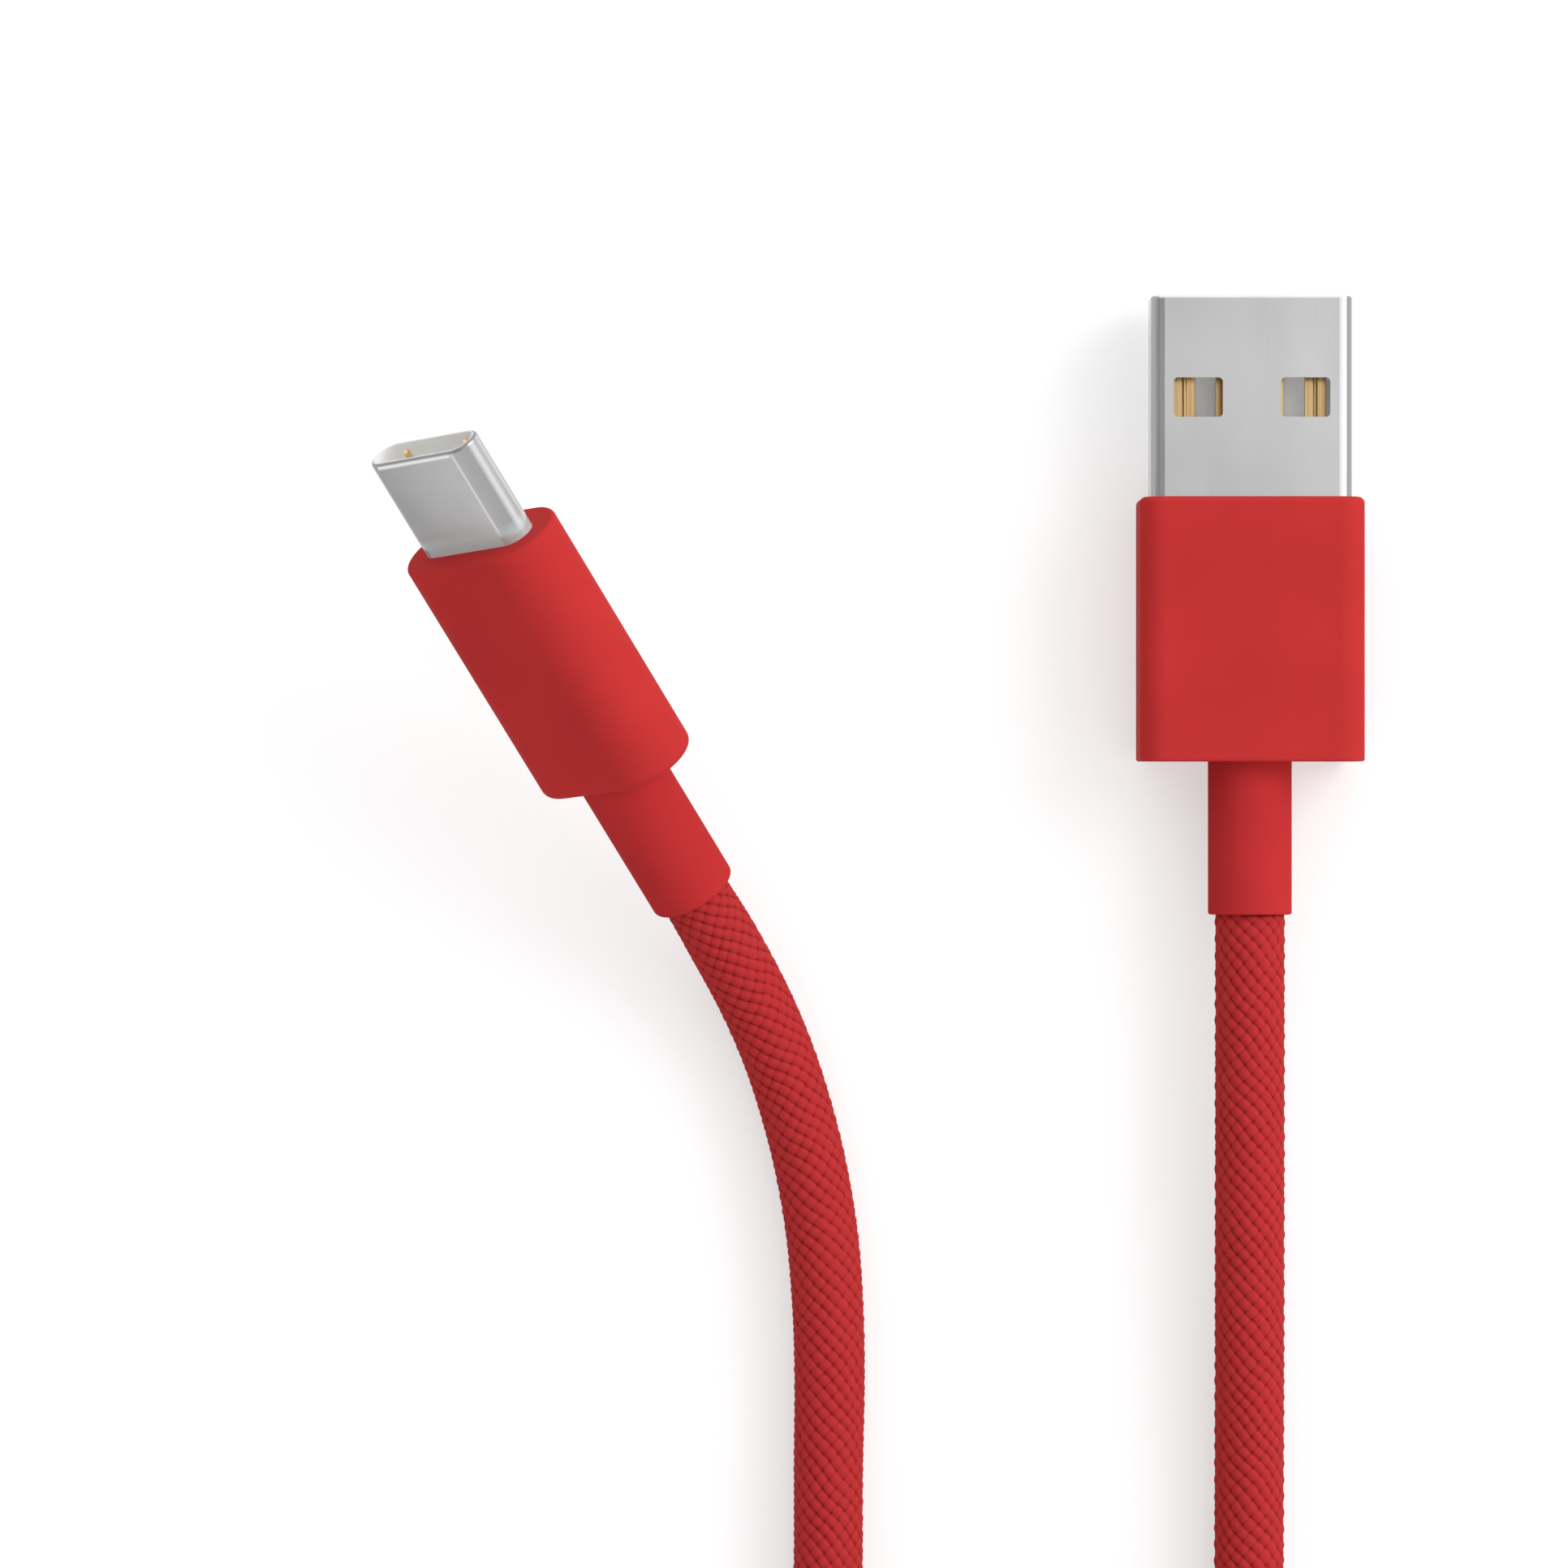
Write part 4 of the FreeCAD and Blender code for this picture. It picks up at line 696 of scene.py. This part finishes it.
class Sleeve:
    """The cord's mesh: real strands where the cord is seen close, a plain tube in the coil."""

    samples = 4  # places across one strand
    crowding = 0.11  # how far places move towards the grooves, in strands
    stray_sideways, stray_along = 0.12, 0.05  # in strands
    swelling = 0.042  # as a share of the sleeve's size
    swell_start, swell_rise = 0.5, 3.0  # millimetres behind the oval plug
    swell_end, swell_fall = 38.0, 14.0
    plain_sinks = 0.03 * MM
    plain_spacing = 0.9 * MM

    def __init__(self, line, cord):
        self.line = line
        self.cord = cord
        self.step = cord.strand_rise / (2 * self.samples)
        self.fine = cord.strands * self.samples
        self.coarse = self.fine // 2
        self.vertices = []
        self.charts = []
        self.plain = []
        self.faces = []
        self.centres = []
        self.side = self.heading = None

    def radius_at(self, around, along):
        """Grooves follow the strands that lead down to the right; shallow notches cross them."""
        leading = around + along
        crossing = around - along
        over = (math.floor(leading) + math.floor(crossing)) % 2
        ridge = math.sin(math.pi * (leading % 1.0)) ** (OVER if over else UNDER)
        notch = math.sin(math.pi * (crossing % 1.0)) ** (UNDER if over else OVER)
        stands = (OVER_STANDS if over else UNDER_STANDS) * ridge * notch
        crown = self.cord.diameter / 2 + stands
        return crown - self.cord.groove * (1.0 - ridge) - self.cord.notch * (1.0 - notch)

    def crowd(self, around, along):
        """Moves a place towards its nearest groove, for broad strands and narrow grooves."""
        leading, crossing = around + along, around - along
        leading -= self.crowding * math.sin(2.0 * math.pi * leading)
        crossing -= self.crowding * math.sin(2.0 * math.pi * crossing)
        return (leading + crossing) / 2, (leading - crossing) / 2

    def stray(self, around, along):
        """How far a strand strays from its even place, round the cord and along it, in strands.

        The waves' lengths have no common measure, so that the weave never repeats.
        """
        turn = 2.0 * math.pi * around / self.cord.strands
        sideways = math.sin(0.83 * along + turn) * math.sin(0.31 * along - 2.0 * turn)
        lengthways = math.sin(1.37 * along - 3.0 * turn) + math.sin(0.57 * along + 2.0 * turn)
        return self.stray_sideways * sideways, self.stray_along * lengthways

    def swell(self, station):
        """How much the sleeve opens over the bend behind the oval plug, as a share of its size."""
        behind = (self.line.length - station) / MM
        opening = (behind - self.swell_start) / self.swell_rise
        closing = (self.swell_end - behind) / self.swell_fall
        return self.swelling * max(0.0, min(1.0, opening, closing))

    def carry_side(self, heading):
        """Turns the sideways direction with the line, with no twist."""
        if self.side is None:
            self.side = heading.cross(Vector((0.0, 0.0, 1.0))).normalized() * -1.0
        else:
            self.side = self.heading.rotation_difference(heading) @ self.side
            self.side = (self.side - heading * self.side.dot(heading)).normalized()
        self.heading = heading

    def ring(self, station, count, offset, is_plain):
        """Adds one ring of the sleeve and gives its vertices' numbers."""
        place, heading = self.line.at(station)
        self.carry_side(heading)
        up = heading.cross(self.side)
        first = len(self.vertices)
        along = station / self.cord.strand_rise
        for k in range(count):
            around = (k + offset) * self.cord.strands / count
            radius = self.cord.diameter / 2 - self.plain_sinks
            chart, forward, sideways = (around, along), 0.0, 0.0
            if not is_plain:
                chart = self.crowd(around, along)
                radius = self.radius_at(*chart) * (1.0 + self.swell(station))
                sideways, forward = self.stray(*chart)
                forward += chart[1] - along
            angle = 2.0 * math.pi * (chart[0] + sideways) / self.cord.strands
            out = self.side * math.cos(angle) + up * math.sin(angle)
            self.vertices.append(place + out * radius + heading * forward * self.cord.strand_rise)
            self.charts.append(chart)
            self.plain.append(float(is_plain))
        self.centres.append(place)
        return list(range(first, first + count))

    def woven_stretch(self, first_row, last_row):
        """Rows of staggered places, joined by diamonds that lie along the strands."""
        rows = {}
        for row in range(first_row, last_row + 1):
            station = min(row * self.step, self.line.length)
            rows[row] = self.ring(station, self.fine, 0.5 * (row % 2), False)
        count = self.fine
        for row in range(first_row, last_row - 1):
            back, ahead = (-1, 0) if row % 2 == 0 else (0, 1)
            for k in range(count):
                self.faces.append((
                    rows[row][k],
                    rows[row + 1][(k + back) % count],
                    rows[row + 2][k],
                    rows[row + 1][(k + ahead) % count],
                ))
        for edge, inner in ((first_row, first_row + 1), (last_row, last_row - 1)):
            here, next_row, shift = rows[edge], rows[inner], edge % 2
            for k in range(count):
                corners = (here[k], next_row[(k + shift) % count], here[(k + 1) % count])
                self.faces.append(corners if edge == first_row else corners[::-1])
        return rows[first_row], rows[last_row]

    def stitch(self, fine, coarse, fine_first):
        """Joins a ring of the woven stretch to one of the plain tube, which has half as many."""
        for k in range(self.coarse):
            here = coarse[k]
            there = coarse[(k + 1) % self.coarse]
            left, middle, right = (fine[(2 * k + i) % self.fine] for i in range(3))
            for corners in ((left, here, middle), (middle, here, there), (middle, there, right)):
                self.faces.append(corners if fine_first else corners[::-1])

    def plain_stretch(self, start, end):
        """A plain tube in even rings, for the length that is wound up."""
        count = max(2, round((end - start) / self.plain_spacing))
        rings = [
            self.ring(start + (end - start) * (i + 0.5) / count, self.coarse, 0.0, True)
            for i in range(count)
        ]
        for before, after in zip(rings, rings[1:]):
            for k in range(self.coarse):
                n = (k + 1) % self.coarse
                self.faces.append((before[k], after[k], after[n], before[n]))
        return rings[0], rings[-1]

    def cap(self, ring, faces_back):
        self.faces.append(tuple(ring if faces_back else ring[::-1]))

    def weave(self, bottom):
        """Weaves the leads down to where they pass the bottom of the picture."""
        first_end = 2 * round(self.line.station_past(bottom, False) / self.step / 2)
        last_start = 2 * round(self.line.station_past(bottom, True) / self.step / 2)
        last_row = math.ceil(self.line.length / self.step)
        start_ring, fine_a = self.woven_stretch(0, first_end)
        coarse_a, coarse_b = self.plain_stretch(first_end * self.step, last_start * self.step)
        fine_b, end_ring = self.woven_stretch(last_start, last_row)
        self.stitch(fine_a, coarse_a, True)
        self.stitch(fine_b, coarse_b, False)
        self.cap(start_ring, True)
        self.cap(end_ring, False)

    def object(self, name):
        """The mesh with its map, on which a face over the seam keeps to the seam's far side."""
        mesh = bpy.data.meshes.new(name)
        mesh.from_pydata(self.vertices, [], self.faces)
        plain = mesh.attributes.new("plain", "FLOAT", "POINT")
        plain.data.foreach_set("value", self.plain)
        chart = mesh.uv_layers.new(name="braid")
        strands = self.cord.strands
        for face in mesh.polygons:
            places = [self.charts[mesh.loops[loop].vertex_index] for loop in face.loop_indices]
            highest = max(around for around, along in places)
            for loop, (around, along) in zip(face.loop_indices, places):
                if len(places) <= 4 and highest - around > strands / 2:
                    around += strands
                chart.data[loop].uv = (around / strands, along / strands)
        mesh.shade_smooth()
        return add_object(name, mesh)


# Modelling by hand


def add_object(name, data):
    holder = bpy.data.objects.new(name, data)
    bpy.context.scene.collection.objects.link(holder)
    return holder


def deselect():
    if bpy.context.object and bpy.context.object.mode != "OBJECT":
        bpy.ops.object.mode_set(mode="OBJECT")
    bpy.ops.object.select_all(action="DESELECT")


def select_where(kind, wanted):
    """Selects only the vertices, edges or faces of the piece in edit mode that the test wants."""
    mesh = bmesh.from_edit_mesh(bpy.context.object.data)
    for vertex in mesh.verts:
        vertex.select = False
    mesh.select_flush(False)
    for element in getattr(mesh, kind):
        if wanted(element):
            element.select_set(True)
    bmesh.update_edit_mesh(bpy.context.object.data)


def run_on(y, z):
    bpy.ops.mesh.extrude_region_move(TRANSFORM_OT_translate={"value": (0.0, y, z)})


def turn_corner(x, y, z):
    bpy.ops.mesh.spin(steps=6, angle=-math.pi / 2, center=(x, y, z), axis=(1.0, 0.0, 0.0))


def build_strap(strap):
    """A strip of tape run round the bundle of turns, with its end lapped over its start."""
    low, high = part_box("coil_tie")
    middle_x = (low.x + high.x) / 2
    middle_y = (low.y + high.y) / 2
    thick = strap.thickness
    inner, outer = low.y + thick, high.y - thick
    bottom, top = low.z + thick, high.z - 2 * thick
    bend = strap.bend
    start, end = middle_y + strap.start, middle_y - strap.tail
    lap_climb = (0.15, 0.35, 0.35, 0.15)  # shares of the climb on to the tape's start
    lap_clear = 1.02  # the climb, in thicknesses
    lap_ahead = 0.4 * MM  # from the climb's end to the tape's start
    deselect()
    run = start - (inner + bend)
    bpy.ops.mesh.primitive_plane_add(size=1.0, location=(0.0, 0.0, 0.0))
    piece = bpy.context.object
    piece.name = piece.data.name = "coil_strap"
    bpy.ops.object.mode_set(mode="EDIT")
    bpy.ops.mesh.select_mode(type="EDGE")
    bpy.ops.mesh.select_all(action="SELECT")
    bpy.ops.transform.resize(value=(high.x - low.x, run, 1.0))
    bpy.ops.transform.translate(value=(middle_x, (start + inner + bend) / 2, top))
    select_where("edges", lambda edge: all(v.co.y < inner + bend + MICRON for v in edge.verts))
    turn_corner(middle_x, inner + bend, top - bend)
    run_on(0.0, bottom - top + 2 * bend)
    turn_corner(middle_x, inner + bend, bottom + bend)
    run_on(outer - inner - 2 * bend, 0.0)
    turn_corner(middle_x, outer - bend, bottom + bend)
    run_on(0.0, top - bottom - 2 * bend)
    turn_corner(middle_x, outer - bend, top - bend)
    climb = start + lap_ahead - (outer - bend)
    for part in lap_climb:
        run_on(climb / len(lap_climb), part * lap_clear * thick)
    run_on(end - (outer - bend) - climb, 0.0)
    select_where("verts", lambda v: v.co.z > top + thick / 2 and v.co.y < end + MICRON)
    bpy.ops.mesh.bevel(affect="VERTICES", offset=strap.rounding, segments=6)
    bpy.ops.object.mode_set(mode="OBJECT")
    bpy.ops.object.transform_apply()
    wall = piece.modifiers.new("wall", "SOLIDIFY")
    wall.thickness = thick
    wall.offset = 1.0
    bpy.ops.object.modifier_apply(modifier=wall.name)
    edges = piece.modifiers.new("edges", "BEVEL")
    edges.width = strap.edge
    edges.segments = 2
    edges.limit_method = "ANGLE"
    edges.angle_limit = math.radians(60)
    bpy.ops.object.modifier_apply(modifier=edges.name)
    bpy.ops.object.shade_smooth_by_angle(angle=math.radians(40))
    return piece


# The stage


def build_floor(studio):
    """Pale paper, brought to white for the camera and for reflections; it keeps its shadows."""
    under_cable = -0.03 * MM
    deselect()
    bpy.ops.mesh.primitive_plane_add(size=studio.floor_size, location=(0.0, 0.0, under_cable))
    floor = bpy.context.object
    floor.name = "floor"
    finish = Finish("floor_paper", studio.floor_colour, 0.9, specular=0.1)
    rays = finish.add("ShaderNodeLightPath").outputs
    seen = finish.calc("ADD", rays["Is Camera Ray"], rays["Is Glossy Ray"])
    seen = finish.calc("MINIMUM", finish.calc("ADD", seen, rays["Is Transmission Ray"]), 1.0)
    finish.set("Emission Color", grey(1.0))
    finish.set("Emission Strength", finish.calc("MULTIPLY", seen, studio.floor_lift))
    finish.bump(finish.noise(0.6 * MM, detail=3.0), 4 * MICRON)
    floor.data.materials.append(finish.material)
    floor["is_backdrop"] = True


# The sky's level from left, over the top, to right
SKY = [
    (0.0, 0.72), (0.04, 0.65), (0.13, 0.33), (0.44, 0.31), (0.5, 0.47),
    (0.54, 0.74), (0.6, 0.8), (0.66, 1.08), (1.0, 1.0),
]

# Its level at the picture's lower and upper sides: Y where it starts, Y where it is reached
SKY_SIDES = [(-0.3, -0.75, 0.95), (0.08, 0.6, 1.05)]


def build_sky():
    """A soft sky: dim to the left of straight up, bright to the right, even along the cords."""
    world = bpy.data.worlds.new("studio_sky")
    bpy.context.scene.world = world
    tree = Tree(world)
    across, along = tree.parts(tree.add("ShaderNodeTexCoord").outputs["Generated"])[:2]
    sky = tree.ramp(tree.rise(across, -1.0, 1.0), SKY)
    for start, end, level in SKY_SIDES:
        aside = tree.rise(along, start, end, interpolation_type="SMOOTHSTEP")
        sky = tree.blend(aside, sky, grey(level))
    tree.feed(tree.nodes["Background"].inputs["Color"], sky)
    tree.feed(tree.nodes["Background"].inputs["Strength"], 1.0)


def build_lamp(studio):
    rise, turn = studio.lamp_rise, studio.lamp_turn
    level = math.cos(rise)
    way = Vector((level * math.cos(turn), level * math.sin(turn), math.sin(rise)))
    lamp = bpy.data.lights.new("soft_lamp", "AREA")
    lamp.size = studio.lamp_size
    lamp.energy = math.pi**2 * studio.lamp_level * studio.lamp_distance**2
    holder = add_object("soft_lamp", lamp)
    aim = Vector((studio.view_across, studio.view_along, 0.0))
    holder.location = aim + way * studio.lamp_distance
    holder.rotation_euler = way.to_track_quat("Z", "Y").to_euler()


def build_camera(studio):
    camera = bpy.data.cameras.new("camera")
    camera.lens = studio.lens
    camera.clip_start = 0.01
    holder = add_object("camera", camera)
    holder.location = (studio.view_across, studio.view_along, studio.view_height)
    bpy.context.scene.camera = holder


# Operators


class CABLE_OT_studio(Operator):
    """Set the camera, the soft lamp, the sky and the pale floor"""

    bl_idname = "cable.studio"
    bl_label = "Studio"

    def execute(self, context):
        studio = context.scene.charging_cable.studio
        build_camera(studio)
        build_sky()
        build_lamp(studio)
        build_floor(studio)
        context.scene.view_settings.view_transform = "Standard"
        return {"FINISHED"}


class CABLE_OT_coil_strap(Operator):
    """Tie the coil with a looped strap"""

    bl_idname = "cable.coil_strap"
    bl_label = "Coil Strap"

    def execute(self, context):
        strap = context.scene.charging_cable.strap
        piece = build_strap(strap)
        piece.data.materials.append(looped_tape("looped_tape", strap.tape))
        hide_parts("coil_tie")
        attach(piece, "root")
        return {"FINISHED"}


class CABLE_OT_woven_cord(Operator):
    """Weave the cord from plug to plug, with its spare length in the coil"""

    bl_idname = "cable.woven_cord"
    bl_label = "Woven Cord"

    half_sensor = 18.0  # millimetres, of a square picture

    def execute(self, context):
        settings = context.scene.charging_cable
        cord = settings.cord
        studio = settings.studio
        line = Line([*LEAD_FROM_FLAT_PLUG, *Coil(settings).points(), *LEAD_TO_OVAL_PLUG])
        half_view = self.half_sensor / studio.lens * studio.view_height
        sleeve = Sleeve(line, cord)
        sleeve.weave(studio.view_along - half_view - MM)
        piece = sleeve.object("woven_cord")
        piece.data.materials.append(woven("woven_yarn", cord))
        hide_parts("cord_lead_a", "cord_coil", "cord_lead_c")
        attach(piece, "root")
        [tuple(place) for place in sleeve.centres]
        return {"FINISHED"}


class CABLE_OT_covers(Operator):
    """Finish the moulded covers and strain reliefs"""

    bl_idname = "cable.covers"
    bl_label = "Covers and Strain Reliefs"

    def execute(self, context):
        plugs = context.scene.charging_cable.plugs
        mould({"cover_red"}, "cover_plastic", plugs.cover, 0.55, 0.015, grain=2)
        mould({"relief_red"}, "relief_rubber", plugs.relief, 0.62, 0.015, grain=1.5)
        return {"FINISHED"}


class CABLE_OT_metal(Operator):
    """Finish the steel shells, the springs and the ferrules, and the gold contacts"""

    bl_idname = "cable.metal"
    bl_label = "Shells and Contacts"

    def execute(self, context):
        plugs = context.scene.charging_cable.plugs
        steel, gold = plugs.steel, plugs.gold
        dress({"usb_a_shell"}, folded_shell("folded_shell", steel, 0.15, cloud=0.08))
        dress({"usb_c_shell"}, DrawnShell("drawn_shell", plugs).material)
        dress({"ferrule_steel"}, plated("tinned_ferrule", steel, 0.34, cloud=0.08))
        dress({"spring_steel"}, plated("rolled_spring", steel, 0.26, cloud=0.04))
        flat_contacts = {"usb_a_power_contacts", "usb_a_data_contacts"}
        dress(flat_contacts, gilded("gold_plate", gold, leans=False))
        small_contacts = {"usb_c_ground_fingers", "usb_c_upper_contacts", "usb_c_lower_contacts"}
        dress(small_contacts, gilded("small_gold_plate", gold, leans=True))
        return {"FINISHED"}


class CABLE_OT_insulators(Operator):
    """Finish the plastics that hold the contacts and fill the covers"""

    bl_idname = "cable.insulators"
    bl_label = "Insulators and Moulds"

    def execute(self, context):
        plugs = context.scene.charging_cable.plugs
        mould({"insulator_white"}, "tongue_plastic", plugs.tongue, 0.4, 0.4, grain=1)
        mould({"insulator_grey"}, "slot_plastic", plugs.slot, 0.42, 0.4, grain=1)
        mould({"mould_white"}, "inner_mould", plugs.mould, 0.6, 0.3, grain=3)
        return {"FINISHED"}


class CABLE_OT_inner_parts(Operator):
    """Finish the conductors, the jacket and the small circuit board"""

    bl_idname = "cable.inner_parts"
    bl_label = "Conductors and Circuit Board"

    insulation = {
        "wire_red": (0.5, 0.02, 0.02),
        "wire_white": (0.75, 0.75, 0.74),
        "wire_green": (0.02, 0.3, 0.08),
        "wire_black": (0.02, 0.02, 0.02),
    }

    def execute(self, context):
        settings = context.scene.charging_cable
        plugs = settings.plugs
        for slot, shade in self.insulation.items():
            mould({slot}, slot, shade, 0.4, 0.5, grain=1)
        mould({"jacket_red"}, "jacket", settings.cord.crown, 0.5, 0.4, grain=2)
        mould({"card_green"}, "card_mask", plugs.card, 0.3, 0.5, grain=1)
        mould({"resistor_black"}, "resistor_glaze", plugs.resistor, 0.25, 0.5, grain=0.5)
        return {"FINISHED"}


OPERATORS = [
    CABLE_OT_studio,
    CABLE_OT_coil_strap,
    CABLE_OT_woven_cord,
    CABLE_OT_covers,
    CABLE_OT_metal,
    CABLE_OT_insulators,
    CABLE_OT_inner_parts,
]


class CABLE_PT_sidebar(Panel):
    """The steps that dress the cable, in order"""

    bl_idname = "CABLE_PT_sidebar"
    bl_label = "Charging Cable"
    bl_space_type = "VIEW_3D"
    bl_region_type = "UI"
    bl_category = "Cable"

    def draw(self, context):
        for step in OPERATORS:
            self.layout.operator(step.bl_idname)
        for part in CableSettings.__annotations__:
            settings = getattr(context.scene.charging_cable, part)
            box = self.layout.box()
            for name in type(settings).__annotations__:
                box.prop(settings, name)


GROUPS = [StudioSettings, CordSettings, CoilSettings, StrapSettings, PlugSettings, CableSettings]
CLASSES = [*GROUPS, *OPERATORS, CABLE_PT_sidebar]


def register():
    for cls in CLASSES:
        bpy.utils.register_class(cls)
    whole = group("Charging Cable", "Sizes and colours of the cable", CableSettings)
    bpy.types.Scene.charging_cable = whole


def unregister():
    del bpy.types.Scene.charging_cable
    for cls in reversed(CLASSES):
        bpy.utils.unregister_class(cls)


def main():
    register()
    bpy.ops.cable.studio()
    bpy.ops.cable.coil_strap()
    bpy.ops.cable.woven_cord()
    bpy.ops.cable.covers()
    bpy.ops.cable.metal()
    bpy.ops.cable.insulators()
    bpy.ops.cable.inner_parts()
    boxes = {"cad": CAD_BOX, "visual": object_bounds()}
    sizes = {name: [list(corner) for corner in box] for name, box in boxes.items()}


if __name__ == "__main__":
    main()
